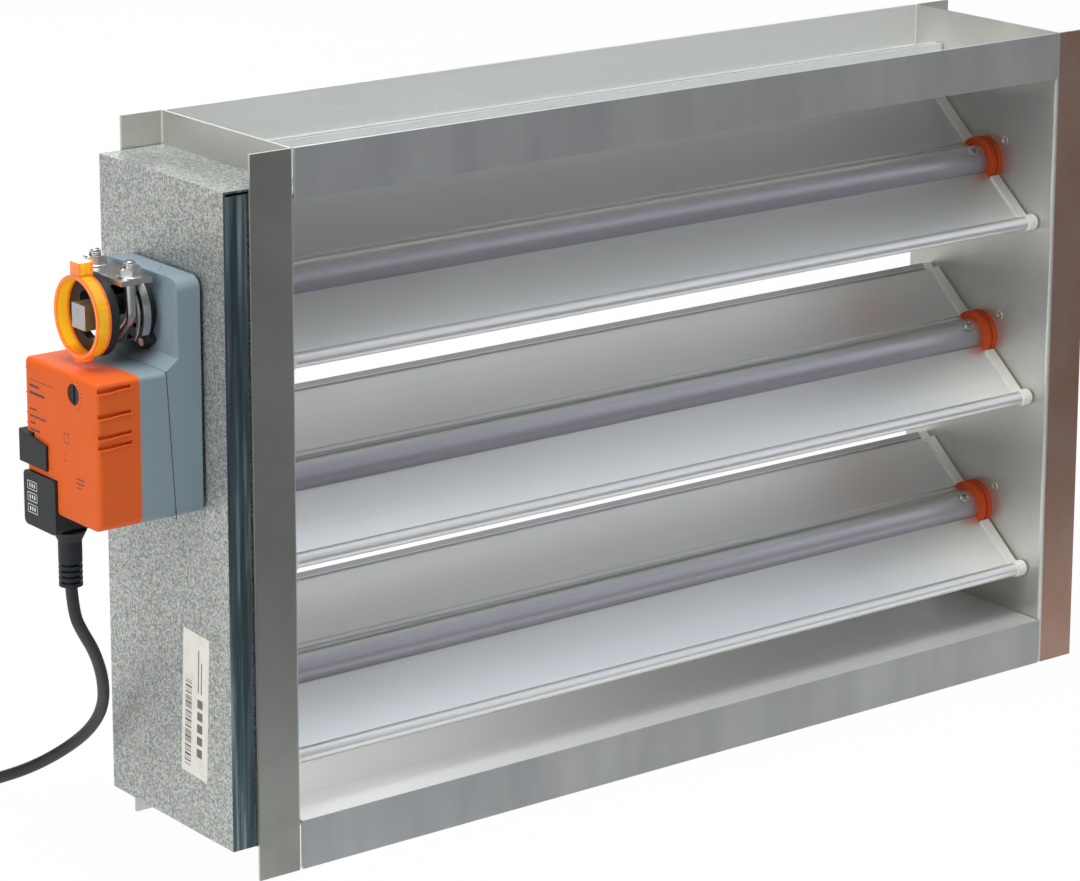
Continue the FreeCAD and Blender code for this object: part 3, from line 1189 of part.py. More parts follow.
def toothed(middle, module, teeth, turn, chosen, start, face, closing=()):
    """A toothed slab: middle is its (y, z) centre, turn is the middle of tooth 0, in degrees."""
    corners = list(closing)
    for index in chosen:
        corners += tooth(module, teeth, math.radians(turn) + 2 * math.pi * index / teeth)
    x = number("case_back - (%s)" % start)
    points = [Vector(x, middle[0] + radius * math.cos(angle), middle[1] + radius * math.sin(angle))
              for radius, angle in corners]
    outline = Part.makePolygon(points + points[:1])
    return Part.Face(outline).extrude(Vector(-number(face), 0, 0))


def disc(middle, start, diameter, length):
    base = Vector(number("case_back - (%s)" % start), middle[0], middle[1])
    return Part.makeCylinder(number(diameter) / 2, number(length), base, Vector(-1, 0, 0))


def gears():
    """Reduction train: the output sector has a gap straight below the shaft, its mate a tooth there."""
    shaft = (number("pivot_y"), number("top_z"))
    first = (number("pivot_y"), number("first_z"))
    second = (number("second_y"), number("second_z"))
    motor = (number("motor_y"), number("motor_z"))
    output_teeth = round(number("output_teeth"))
    pinion_teeth = round(number("pinion_teeth"))
    modules = [number(name) for name in ("output_module", "middle_module", "input_module")]
    step = 360 / output_teeth
    before = round(number("(sector_spare + closing_travel) / 360 * output_teeth"))
    after = round(number("(sector_spare + opening_travel) / 360 * output_teeth"))

    sector = toothed(shaft, modules[0], output_teeth, 270 + step / 2, range(-before, after), "output_start",
                     "output_face", closing=[(0, 0)])
    wheel = sector.fuse(disc(shaft, "output_start", "output_disc", "output_face"))
    bore = disc(shaft, "output_start", "sleeve_diameter + 2 * seat_clearance", "output_face")
    feature("output_gear", wheel.cut(bore).removeSplitter())

    hole = "axle_diameter + 2 * running_clearance"
    down = -number("middle_angle")
    wheel_teeth = round(number("first_teeth"))
    wheel = toothed(first, modules[1], wheel_teeth, down + 180 / wheel_teeth, range(wheel_teeth),
                    "first_wheel_start", "wheel_face")
    pinion = toothed(first, modules[0], pinion_teeth, 90, range(pinion_teeth), "output_start",
                     "output_face + pinion_extra")
    feature("first_gear", wheel.fuse(pinion).cut(disc(first, "output_start", hole, "plate_depth")))

    across = -number("motor_angle")
    wheel_teeth = round(number("second_teeth"))
    wheel = toothed(second, modules[2], wheel_teeth, across + 180 / wheel_teeth, range(wheel_teeth),
                    "second_wheel_start", "wheel_face")
    reach = "second_wheel_start - first_wheel_start + pinion_extra"
    pinion = toothed(second, modules[1], pinion_teeth, down + 180, range(pinion_teeth),
                     "first_wheel_start - pinion_extra", reach)
    feature("second_gear", wheel.fuse(pinion).cut(disc(second, "output_start", hole, "plate_depth")))

    pinion = toothed(motor, modules[2], pinion_teeth, across + 180, range(pinion_teeth),
                     "second_wheel_start - pinion_extra", "wheel_face + 2 * pinion_extra")
    reach = "plate_depth + plate_thickness + motor_shaft_grip - fit_gap - second_wheel_start + pinion_extra"
    shank = disc(motor, "second_wheel_start - pinion_extra", "motor_shaft", reach)
    feature("motor_pinion", pinion.fuse(shank))


def release_button():
    """Black button over the case's edge; pressed inwards it frees the gears."""
    button = Piece("release_button", at=("case_back", "pivot_y", "top_z"))
    low, high, inner = button_room("0")
    outer = "case_half + button_stand"
    front = "0 - case_depth - slide_gap - button_plate"
    slope = "(button_outer_height - button_inner_height)"
    level = "%s - %s * button_block / button_length" % (high, slope)
    button.pad(button.outline("YZ", [
        (outer + " - button_length", low), (outer, low), (outer, high),
        (outer + " - button_length", "%s - %s" % (high, slope)),
    ], front), "button_plate")
    button.pad(button.outline("YZ", [(inner, low), (outer, low), (outer, high), (inner, level)], front),
               "button_skirt")
    middle = "(%s + %s) / 2" % (low, high)
    button.pad(button.outline("YZ", rectangle(
        inner + " - button_stem_length", middle + " - button_stem / 2", outer + " - button_block / 2",
        middle + " + button_stem / 2",
    ), front + " + button_skirt - button_stem"), "button_stem")


def direction_switch():
    """Small rotary switch, sunk in the front, with a stem to the circuit board."""
    switch = Piece("direction_switch", at=("case_back", "pivot_y - switch_side", "top_z - switch_below"))
    front = "switch_sunk - case_depth"
    switch.pad(switch.circles("YZ", [("0", "0", "switch_diameter")], front), "switch_height")
    switch.pad(switch.circles("YZ", [("0", "0", "switch_stem")], front),
               "case_depth - switch_sunk - shell_depth - board_thickness - fit_gap")
    switch.pocket(switch.outline("YZ", rectangle(
        "0 - switch_slot / 2", "0 - switch_slot_length / 2", "switch_slot / 2", "switch_slot_length / 2",
    ), front), "switch_slot")


# Way of the lead from the strain relief's end to the coil: offsets from the outlet along X and Y,
# and the height of its centre line above the floor.
ROUTE = [
    (1.1, 0.2, 131.6),
    (6.8, 2.5, 120.9),
    (16.7, 7.5, 106.8),
    (26.8, 17.0, 87.5),
    (34.4, 30.5, 67.9),
    (36.1, 47.0, 50.5),
    (32.0, 66.0, 35.1),
    (22.7, 84.5, 22.0),
    (11.2, 103.5, 12.4),
    (0.5, 123.5, 3.0),
    (-9.0, 142.0, 3.0),
]


def lead():
    """Lead from the strain relief to the floor, and the coil of its unseen length."""
    diameter = number("lead_diameter")
    outlet = Vector(number("lead_x"), number("lead_y"), number("terminal_floor - relief_length"))
    points = [outlet] + [Vector(outlet.x + across, outlet.y + along, up) for across, along, up in ROUTE]
    radii = []
    for before, corner, after in zip(points, points[1:], points[2:]):
        turn = (corner - before).getAngle(after - corner)
        shorter = min(corner.distanceToPoint(before), corner.distanceToPoint(after))
        radii.append(number("bend_share") * shorter / math.tan(turn / 2))
    feature("lead", swept(points, radii, diameter))

    wide = number("coil_turns_wide") * diameter
    outer_turn = number("coil_diameter") / 2 + wide / 2 - diameter / 2
    end = points[-1]
    way = (end - points[-2]).normalize()
    left = Vector(-way.y, way.x, 0)
    touch = end + way * number("coil_entry")
    centre = touch + left * outer_turn
    base = Vector(centre.x, centre.y, 0)
    height = number("coil_turns_high") * diameter
    ring = Part.makeCylinder((number("coil_diameter") + wide) / 2, height, base)
    ring = ring.cut(Part.makeCylinder((number("coil_diameter") - wide) / 2, height, base))
    thin = diameter / 2 - number("coil_slack")
    entry = Part.makeCylinder(thin, number("coil_entry"), end, way)
    tail_start = centre + left * outer_turn
    tail_way = way * -1
    tail = Part.makeCylinder(thin, number("coil_tail"), tail_start, tail_way)
    feature("lead_coil", ring.fuse([entry, tail]).removeSplitter())
    cores = []
    for place_across in (-1, 0, 1):
        start = tail_start + tail_way * number("coil_tail") + left * (place_across * diameter / 3)
        cores.append(Part.makeCylinder(number("core_diameter") / 2, number("core_length"), start, tail_way))
    feature("lead_ends", Part.makeCompound(cores))


channel("top_channel", "frame_height", -1)
channel("bottom_channel", "0", 1)
side_plate("left_side_plate", "left_face", -1)
side_plate("right_side_plate", "right_face", 1)
frame_screws()
bushes("left_bushes", "left_face", -1)
bushes("right_bushes", "right_face", 1)
for name, row in BLADES.items():
    blade(name, row)
    hubs(name + "_hubs", row)
    end_seals(name + "_end_seals", row)
    blade_screws(name + "_screws", row)
square_shaft("drive_shaft", BLADES["blade_1"], "case_back - shaft_end")
square_shaft("stub_shaft_2", BLADES["blade_2"], "crank_outer")
square_shaft("stub_shaft_3", BLADES["blade_3"], "crank_outer")
for index, row in enumerate(BLADES.values(), 1):
    crank(index, row)
tie_bar()
linkage_cover()
stay_pin()
rear_shell()
front_shell()
actuator_cover()
terminal_cover()
strain_relief()
case_screws()
circuit_board()
gear_plate()
motor_body()
gear_axles()
gears()
output_hub()
end_stops()
clamp_saddle()
clamp_bolt()
clamp_nuts()
ring_carrier()
position_ring()
release_button()
direction_switch()
lead()
doc.recompute()

failed = [item.Label for item in doc.Objects if "Invalid" in item.State or "Error" in item.State]
if failed:
    raise RuntimeError("failed: " + ", ".join(failed))
for item in subparts:
    if item.Shape.isNull() or not item.Shape.isValid():
        raise RuntimeError("bad shape: " + item.Label)
os.makedirs("parts", exist_ok=True)
for item in subparts:
    item.Shape.exportStep("parts/%s.step" % item.Label)
print(len(subparts), "sub-parts written")
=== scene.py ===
import json
import math

import bmesh
import bpy
import numpy as np
from mathutils import Matrix, Vector


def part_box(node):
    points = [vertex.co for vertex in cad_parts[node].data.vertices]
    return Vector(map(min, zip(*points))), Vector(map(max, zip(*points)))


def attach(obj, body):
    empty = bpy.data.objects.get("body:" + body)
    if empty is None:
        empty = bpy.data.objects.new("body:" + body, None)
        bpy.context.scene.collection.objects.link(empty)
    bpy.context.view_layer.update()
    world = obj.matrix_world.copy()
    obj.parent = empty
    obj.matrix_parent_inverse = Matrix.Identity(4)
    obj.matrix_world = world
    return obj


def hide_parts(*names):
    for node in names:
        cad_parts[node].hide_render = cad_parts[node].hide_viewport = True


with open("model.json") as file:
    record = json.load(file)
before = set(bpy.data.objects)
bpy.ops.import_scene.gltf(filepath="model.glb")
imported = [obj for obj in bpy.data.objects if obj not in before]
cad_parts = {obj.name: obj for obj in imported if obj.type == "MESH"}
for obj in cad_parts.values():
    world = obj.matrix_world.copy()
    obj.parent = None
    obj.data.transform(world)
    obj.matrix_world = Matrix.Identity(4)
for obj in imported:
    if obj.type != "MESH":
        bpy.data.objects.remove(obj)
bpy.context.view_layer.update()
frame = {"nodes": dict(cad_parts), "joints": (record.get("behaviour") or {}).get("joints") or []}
NODES = frame["nodes"]
MM = 0.001

# Places taken from the frame. X runs across the duct, Y through it, Z is up.
JOINTS = {joint["name"]: joint for joint in frame["joints"]}
PIVOT_Y = JOINTS["blade_drive"]["pos_m"][1]
SHAFT_Z = JOINTS["blade_drive"]["pos_m"][2]
BLADE_ROWS = {
    "blade_1": ("top_blade", SHAFT_Z),
    "blade_2": ("middle_blade", JOINTS["middle_blade_turn"]["pos_m"][2]),
    "blade_3": ("bottom_blade", JOINTS["bottom_blade_turn"]["pos_m"][2]),
}
COVER_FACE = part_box("linkage_cover")[0].x
CASE_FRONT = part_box("actuator_cover")[0].x
TERMINAL_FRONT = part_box("terminal_cover")[0].x
NECK_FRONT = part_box("end_stops")[1].x
SHELL_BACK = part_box("actuator_rear_shell")[1].x
# How far the front faces of the side plates, the linkage cover and the channels lie from the middle plane.
PLATE_FRONT = -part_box("right_side_plate")[0].y
COVER_FRONT = -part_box("linkage_cover")[0].y
CHANNEL_FRONT = -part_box("top_channel")[0].y


def unit(vector):
    vector = np.asarray(vector, float)
    return vector / np.linalg.norm(vector)


# Shader maths

class Socket:
    """A number socket of a node tree; an expression on sockets and numbers adds its Math nodes."""

    def __init__(self, finish, link):
        self.finish = finish
        self.link = link

    def maths(self, operation, *values):
        return self.finish.node("Math", {"operation": operation}, dict(enumerate(values)))

    def __add__(self, other):
        return self.maths("ADD", self, other)

    def __sub__(self, other):
        return self.maths("SUBTRACT", self, other)

    def __rsub__(self, other):
        return self.maths("SUBTRACT", other, self)

    def __mul__(self, other):
        return self.maths("MULTIPLY", self, other)

    def __pow__(self, other):
        return self.maths("POWER", self, other)

    def __abs__(self):
        return self.maths("ABSOLUTE", self)

    def above(self, level, soft):
        """0 below the level, 1 above it, with a soft step between."""
        return self.finish.node("MapRange", {"interpolation_type": "SMOOTHSTEP"},
                                {0: self, 1: level - soft, 2: level + soft})

    __radd__ = __add__
    __rmul__ = __mul__


class Finish:
    """A material with one Principled shader; its fixed values are set on the shader's own sockets."""

    def __init__(self, name, **fixed):
        self.material = bpy.data.materials.new(name)
        self.material.use_nodes = True
        self.tree = self.material.node_tree
        self.shader = self.tree.nodes["Principled BSDF"]
        for key, value in fixed.items():
            self.set(key.replace("_", " ").title().replace("Ior", "IOR"), value)
        self.place = self.node("TexCoord", {}, {}, "Object")

    def set(self, name, value):
        socket = self.shader.inputs[name]
        if isinstance(value, Socket):
            self.tree.links.new(value.link, socket)
        else:
            socket.default_value = (*value, 1.0) if isinstance(value, tuple) else value
        return self

    def node(self, kind, settings, inputs, output=0):
        """Adds one node: its settings first, then the values or links of its sockets."""
        item = self.tree.nodes.new("ShaderNode" + kind)
        for key, value in settings.items():
            if key == "stops":
                ramp = item.color_ramp
                while len(ramp.elements) < len(value):
                    ramp.elements.new(0.5)
                for element, (place, colour) in zip(ramp.elements, value):
                    element.position = place
                    element.color = (*colour, 1.0)
            else:
                setattr(item, key, value)
        for key, value in inputs.items():
            if isinstance(value, Socket):
                self.tree.links.new(value.link, item.inputs[key])
            elif isinstance(value, tuple) and len(value) == 3 and item.inputs[key].type == "RGBA":
                item.inputs[key].default_value = (*value, 1.0)
            else:
                item.inputs[key].default_value = value
        return Socket(self, item.outputs[output])

    def stretched(self, scale, turn=(0, 0, 0)):
        """Object coordinates, turned and then stretched."""
        return self.node("Mapping", {}, {"Vector": self.place, "Scale": scale, "Rotation": turn})

    def noise(self, scale, detail=3.0, rough=0.55, where=None):
        return self.node("TexNoise", {}, {"Vector": where or self.place, "Scale": scale, "Detail": detail,
                                          "Roughness": rough})

    def cells(self, scale, where):
        """A random colour for each cell."""
        return self.node("TexVoronoi", {}, {"Vector": where, "Scale": scale}, "Color")

    def split(self, vector):
        """The three parts of a vector or colour."""
        item = self.node("SeparateXYZ", {}, {0: vector})
        return [Socket(self, output) for output in item.link.node.outputs]

    def ramp(self, value, *stops):
        return self.node("ValToRGB", {"stops": stops}, {0: value})

    def mix(self, share, first, second):
        return self.node("Mix", {"data_type": "RGBA"}, {0: share, 6: first, 7: second}, 2)

    def bump(self, height, depth, strength):
        """Sends a height, from 0 to 1, to the shader's normal; depth is in metres."""
        inputs = {"Height": height, "Distance": depth, "Strength": strength}
        return self.set("Normal", self.node("Bump", {}, inputs))


# Finishes

# Tilt of the blades in the photograph's pose, and the direction their upper faces look.
TILT = math.radians(50.4)
BLADE_FRONT = np.array([0, -math.cos(TILT), math.sin(TILT)])


def galvanised():
    """Hot dipped sheet: fine crystals in mixed greys; painted shade and reflection make the cover's front wall
    dark with long streaks.
    """
    made = Finish("galvanised_sheet", metallic=0.8)
    crystals = made.split(made.cells(1200, made.stretched((1, 1, 1), (0.4, 0.7, 0.2))))
    small = made.noise(1600, 2)
    patches = made.noise(520, 3, 0.65)
    broad = made.noise(14, 3)
    along = made.split(made.place)[1]
    tone = crystals[0] * 0.3 + small * 0.25 + patches * 0.45
    colour = made.ramp(tone, (0.38, (0.27, 0.29, 0.28)), (0.5, (0.48, 0.50, 0.47)),
                       (0.62, (0.72, 0.73, 0.69)))
    colour = made.mix(broad * 0.3, colour, (0.46, 0.50, 0.50))
    # Painted shade and reflection on the cover's front wall, streaked along Z.
    streaks = made.noise(1, 3, 0.6, made.stretched((260, 260, 9)))
    painted_wall_shade = made.ramp(streaks, (0.38, (0.05, 0.085, 0.095)), (0.52, (0.10, 0.15, 0.165)),
                       (0.68, (0.34, 0.42, 0.44)))
    front = (0 - along).above(COVER_FRONT - 0.3 * MM, 0.2 * MM)
    made.set("Base Color", made.mix(front, colour, painted_wall_shade))
    made.set("Roughness", crystals[1] * 0.1 + 0.42 + broad * 0.1)
    return made.bump(tone, 0.00003, 0.3).material


def rolled_plate():
    """Rolled sheet of the side plates: fine upright lines and dull clouds, with a painted reflection on the
    front faces of its flanges, dark grey on the left plate and brown on the right.
    """
    made = Finish("rolled_plate", metallic=0.85)
    lines = made.noise(1, 4, 0.6, made.stretched((900, 900, 14)))
    clouds = made.noise(22, 4)
    dots = made.noise(700, 2)
    colour = made.ramp(clouds, (0.3, (0.61, 0.62, 0.58)), (0.7, (0.70, 0.71, 0.67)))
    colour = made.mix(lines * 0.2 + dots * 0.12, colour, (0.52, 0.50, 0.46))
    across, along = made.split(made.place)[:2]
    # Painted reflection on the flanges' front faces: dark grey on the left plate, brown on the right, uneven
    # with the clouds.
    painted_flange_reflection = made.mix(across.above(0, 0.01), (0.225, 0.235, 0.22), (0.30, 0.14, 0.085))
    film = (0 - along).above(PLATE_FRONT - 0.3 * MM, 0.2 * MM) * (clouds * 0.5 + 0.55)
    made.set("Base Color", made.mix(film, colour, painted_flange_reflection))
    made.set("Roughness", lines * 0.1 + clouds * 0.1 + 0.36)
    return made.bump(lines, 0.00002, 0.25).material


def extrusion(name, tone, rough, metallic, painted_shade):
    """Mill finish extrusion: die lines along X, faint water stains and a few short scratches.

    The last argument gives the share and the colour of the faces with painted shade and reflection.
    """
    made = Finish(name, metallic=metallic)
    lines = made.noise(1, 3, 0.6, made.stretched((3, 1100, 1100)))
    wide = made.noise(1, 2, 0.5, made.stretched((4, 150, 150)))
    stains = made.noise(9, 3, 0.6)
    scratches = made.noise(1, 1, 0.4, made.stretched((160, 1500, 1500), (0.2, 0.1, 0.3))).above(0.72, 0.03)
    dark = tuple(part * 0.84 for part in tone)
    colour = made.mix(lines * 0.3 + wide * 0.25, tone, dark)
    colour = made.mix(stains.above(0.55, 0.15) * 0.2, colour, dark)
    colour = made.mix(scratches * 0.3, colour, (0.95, 0.95, 0.94))
    # Painted shade and reflection on some faces, mixed over the metal's colour.
    share, other = painted_shade(made)
    made.set("Base Color", made.mix(share, colour, other))
    made.set("Roughness", wide * 0.07 + stains * 0.08 + share * 0.08 + rough)
    return made.bump(lines, 0.00001, 0.25).material


def channel_front_shade(made):
    """Painted shade and reflection on the front flanges of the channels: greyer, uneven, and darker towards the
    actuator.
    """
    across, along = made.split(made.place)[:2]
    clouds = made.noise(1, 3, 0.6, made.stretched((30, 8, 8)))
    shade = made.mix(across.above(-0.1, 0.16) * 0.8, (0.34, 0.36, 0.38), (0.36, 0.37, 0.375))
    # Share of painted shade and reflection on the channels' front faces.
    return (0 - along).above(CHANNEL_FRONT - 0.3 * MM, 0.2 * MM) * (clouds * 0.6 + 0.6), shade


def blade_shade(made):
    """Painted shade and reflection: greyer and darker on the lower side of the centre tube and on the lip of the
    upper edge, which are also duller.
    """
    along, up = made.split(made.place)[1:]
    pitch = BLADE_ROWS["blade_1"][1] - BLADE_ROWS["blade_2"][1]
    tube_reach, lip_start = 9.3 * MM, 50.6 * MM
    height = up - (SHAFT_Z - 2.5 * pitch)
    rise = height.maths("MODULO", height, pitch) - pitch / 2
    depth = along - PIVOT_Y
    chord = depth * math.sin(TILT) + rise * math.cos(TILT)
    radius = (depth ** 2 + rise ** 2) ** 0.5
    # Painted shade masks: the tube's lower side and the upper lip, placed for the blades' pose.
    tube = (0 - radius).above(-tube_reach, 0.3 * MM) * (0 - chord).above(0.5 * MM, 3.5 * MM)
    lip = chord.above(lip_start, 0.4 * MM)
    return tube * 0.9 + lip * 0.75, (0.46, 0.45, 0.51)


def zinc(name, level, rough):
    """Zinc plate with a faint yellow and blue cast."""
    made = Finish(name, metallic=1.0)
    cast = made.noise(180, 2)
    casts = ((0.74, 0.79, 0.83), (0.86, 0.86, 0.84), (0.88, 0.82, 0.68))
    stops = [(place, tuple(part * level for part in tone)) for place, tone in zip((0.35, 0.55, 0.7), casts)]
    made.set("Base Color", made.ramp(cast, *stops))
    made.set("Roughness", made.noise(500, 2) * 0.16 + rough)
    return made.material


def moulded(name, colour, rough):
    """Moulded plastic: fine spark grain, slightly uneven gloss and colour."""
    made = Finish(name, specular_ior_level=0.35)
    clouds = made.noise(60, 3)
    grains = made.noise(2600, 2)
    shade = tuple(part * 0.8 for part in colour)
    made.set("Base Color", made.mix(clouds * 0.4, colour, shade))
    made.set("Roughness", clouds * 0.12 + grains * 0.08 + rough)
    return made.bump(grains, 0.00002, 0.5).material


def amber():
    """Clear amber plastic of the position ring with a painted glow from its emission, and painted deeper orange
    at its rims and underneath.
    """
    made = Finish("clear_amber", transmission_weight=0.55, ior=1.45, coat_weight=0.3, emission_strength=0.2)
    across, up = made.split(made.place)[::2]
    low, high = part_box("position_ring")
    rims = (0 - across).above(-low.x - 1.0 * MM, 0.3 * MM) + across.above(high.x - 1.4 * MM, 0.4 * MM)
    under = (0 - up).above(-low.z - 2.5 * MM, 2 * MM)
    edge = rims.maths("MINIMUM", rims + under, 1.0)
    # Painted glow, and painted deeper orange at the rims and underneath.
    made.set("Emission Color", made.mix(edge, (0.9, 0.50, 0.015), (1.0, 0.22, 0.01)))
    made.set("Base Color", made.mix(edge, (0.92, 0.56, 0.025), (1.0, 0.26, 0.012)))
    made.set("Roughness", made.noise(400, 2) * 0.08 + 0.06)
    return made.material


def board():
    """Lacquered circuit board: green field, lighter tracks, dark parts where it rises from the sheet."""
    made = Finish("circuit_board_lacquer", coat_weight=0.3)
    across = made.split(made.place)[0]
    sheet_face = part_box("circuit_board")[1].x - 1.8 * MM
    tracks = abs(made.noise(110, 1) - 0.5).above(0.02, 0.006)
    green = made.mix(tracks, (0.03, 0.20, 0.08), (0.01, 0.09, 0.035))
    made.set("Base Color", made.mix(across.above(sheet_face, 0.0001), (0.02, 0.02, 0.025), green))
    made.set("Roughness", tracks * 0.15 + 0.3)
    return made.material


def jacket():
    """Lead jacket: smooth black compound with faint draw lines and dust."""
    made = Finish("lead_jacket")
    dust = made.noise(420, 4)
    made.set("Base Color", made.mix(dust * 0.4, (0.012, 0.014, 0.017), (0.035, 0.04, 0.045)))
    made.set("Roughness", dust * 0.25 + 0.36)
    return made.bump(made.noise(1500, 2), 0.00004, 0.4).material


def tinned():
    """Tinned copper cores: twisted strands seen as slanting lines."""
    made = Finish("core_strands", metallic=1.0)
    strands = made.node("TexWave", {"wave_type": "BANDS", "bands_direction": "DIAGONAL"},
                        {"Vector": made.place, "Scale": 700.0, "Distortion": 0.4}, 1)
    made.set("Base Color", made.mix(strands, (0.75, 0.38, 0.18), (0.9, 0.62, 0.42)))
    made.set("Roughness", strands * 0.1 + 0.25)
    return made.bump(strands, 0.0002, 0.8).material


def ink(name, colour):
    """Printed mark with a slightly worn, uneven film."""
    made = Finish(name)
    wear = made.noise(1800, 3)
    faded = tuple(0.6 * part + 0.1 for part in colour)
    made.set("Base Color", made.mix(wear.above(0.6, 0.08) * 0.35, colour, faded))
    made.set("Roughness", wear * 0.2 + 0.45)
    return made.material


def paper():
    """Glossy paper label, a little yellowed and rubbed."""
    made = Finish("label_paper", coat_weight=0.2)
    rubbed = made.noise(160, 4)
    made.set("Base Color", made.mix(rubbed.above(0.6, 0.12) * 0.5, (0.82, 0.80, 0.73), (0.66, 0.64, 0.57)))
    made.set("Roughness", rubbed * 0.2 + 0.35)
    return made.bump(rubbed, 0.00004, 0.4).material


GALVANISED = galvanised()
PLATE = rolled_plate()
CHANNEL = extrusion("channel_extrusion", (0.76, 0.775, 0.76), 0.36, 0.5, channel_front_shade)
BLADE = extrusion("blade_extrusion", (0.84, 0.85, 0.845), 0.26, 0.72, blade_shade)
ZINC = zinc("bright_zinc", 0.66, 0.22)
DRAWN_STEEL = zinc("drawn_steel", 0.66, 0.42)
HUB_ORANGE = moulded("hub_orange_plastic", (0.72, 0.09, 0.015), 0.45)
SEAL_WHITE = moulded("seal_white_rubber", (0.95, 0.94, 0.89), 0.55)
CASE_GREY = moulded("case_grey_plastic", (0.235, 0.31, 0.355), 0.5)
CASE_ORANGE = moulded("case_orange_plastic", (0.76, 0.115, 0.008), 0.48)
SEAM = moulded("seam_shadow", (0.07, 0.08, 0.09), 0.6)
BLACK = moulded("black_plastic", (0.016, 0.02, 0.024), 0.42)
GEAR_WHITE = moulded("gear_white_plastic", (0.72, 0.72, 0.66), 0.4)
AMBER = amber()
BOARD = board()
JACKET = jacket()
STRANDS = tinned()
WHITE_INK = ink("white_ink", (0.72, 0.75, 0.76))
DARK_INK = ink("dark_ink", (0.06, 0.035, 0.03))
LABEL_INK = ink("label_ink", (0.16, 0.15, 0.13))
SCALE_INK = ink("scale_ink", (0.13, 0.16, 0.18))
PAPER = paper()

NODE_FINISH = {
    GALVANISED: ["linkage_cover", "tie_bar", "crank_1", "crank_2", "crank_3"],
    PLATE: ["left_side_plate", "right_side_plate"],
    CHANNEL: ["top_channel", "bottom_channel"],
    BLADE: ["blade_1", "blade_2", "blade_3"],
    ZINC: ["frame_screws", "cover_screws", "stay_pin", "case_screws", "gear_plate", "motor_body", "gear_axles",
           "end_stop_screws", "clamp_saddle", "clamp_bolt", "clamp_nuts", "motor_pinion", "crank_1_pin",
           "crank_2_pin", "crank_3_pin", "blade_1_screws", "blade_2_screws", "blade_3_screws"],
    DRAWN_STEEL: ["drive_shaft", "stub_shaft_2", "stub_shaft_3"],
    HUB_ORANGE: ["blade_1_hubs", "blade_2_hubs", "blade_3_hubs", "left_bushes", "right_bushes"],
    SEAL_WHITE: ["blade_1_end_seals", "blade_2_end_seals", "blade_3_end_seals"],
    CASE_GREY: ["actuator_rear_shell", "actuator_front_shell"],
    CASE_ORANGE: ["actuator_cover"],
    BLACK: ["terminal_cover", "strain_relief", "end_stops", "output_hub", "ring_carrier", "release_button",
            "direction_switch"],
    GEAR_WHITE: ["output_gear", "first_gear", "second_gear"],
    AMBER: ["position_ring"],
    BOARD: ["circuit_board"],
    JACKET: ["lead", "lead_coil"],
    STRANDS: ["lead_ends"],
}
for material, names in NODE_FINISH.items():
    for name in names:
        mesh = NODES[name].data
        mesh.materials.clear()
        mesh.materials.append(material)


# Meshes worked out with numpy

class Surface:
    """Collects grids of points into one mesh."""

    def __init__(self):
        self.points = []
        self.faces = []
        self.count = 0

    def grid(self, points, around=True):
        """Adds a grid of points, rows by columns; around joins the last column to the first."""
        rows, columns = points.shape[:2]
        index = np.arange(rows * columns).reshape(rows, columns) + self.count
        right = np.roll(index, -1, axis=1) if around else index[:, 1:]
        left = index if around else index[:, :-1]
        quads = np.stack([left[:-1], right[:-1], right[1:], left[1:]], axis=-1)
        self.points.append(points.reshape(-1, 3))
        self.faces.append(quads.reshape(-1, 4))
        self.count += rows * columns
        return self

    def piece(self, name, material, body, slot, replaced=()):
        """Makes the object, merges its poles and seams, turns its faces outwards and lets it ride."""
        mesh = bpy.data.meshes.new(name)
        mesh.from_pydata(np.concatenate(self.points).tolist(), [], np.concatenate(self.faces).tolist())
        shape = bmesh.new()
        shape.from_mesh(mesh)
        bmesh.ops.remove_doubles(shape, verts=shape.verts, dist=1e-6)
        bmesh.ops.dissolve_degenerate(shape, edges=shape.edges, dist=1e-7)
        bmesh.ops.recalc_face_normals(shape, faces=shape.faces)
        shape.to_mesh(mesh)
        shape.free()
        mesh.materials.append(material)
        mesh.shade_smooth()
        mesh.set_sharp_from_angle(angle=math.radians(35))
        item = bpy.data.objects.new(name, mesh)
        bpy.context.scene.collection.objects.link(item)
        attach(item, body)
        if replaced:
            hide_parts(*replaced)
        return item


def axes_about(out, up=(0, 0, 1)):
    """Three unit vectors: across, up and out, as rows."""
    out = unit(out)
    across = np.cross(up, out)
    across = unit(across if np.linalg.norm(across) > 1e-6 else np.cross((0, 1, 0), out))
    return np.array([across, np.cross(out, across), out])


def turned(profile, spot, basis, steps=48, shape=None):
    """Surface of revolution: the profile's radius and height carried round the axis through a spot.

    shape(radius, height, angle), if given, returns the changed radius and height at each angle.
    """
    profile = np.asarray(profile, float)
    angle = np.linspace(0, 2 * np.pi, steps, endpoint=False)[None, :]
    radius = profile[:, :1] + 0 * angle
    height = profile[:, 1:] + 0 * angle
    if shape:
        radius, height = shape(radius, height, angle)
    local = np.stack([radius * np.cos(angle), radius * np.sin(angle), height], axis=-1)
    return local @ basis + np.asarray(spot)


def spin(angle):
    """Turns the first two directions of a basis about its third."""
    return np.array([[math.cos(angle), math.sin(angle), 0], [-math.sin(angle), math.cos(angle), 0], [0, 0, 1]])


def plate_mesh(surface, spot, basis, width, tall, thick):
    """A thin box: a loop of four corners carried from its back to its front and closed at both ends."""
    loop = np.array([(-1, -1), (1, -1), (1, 1), (-1, 1)]) * (width / 2, tall / 2)
    rows = [(0.0, 0.0), (1.0, 0.0), (1.0, thick), (0.0, thick)]
    points = np.array([[(x * share, y * share, height) for x, y in loop] for share, height in rows])
    surface.grid(points @ basis + np.asarray(spot))


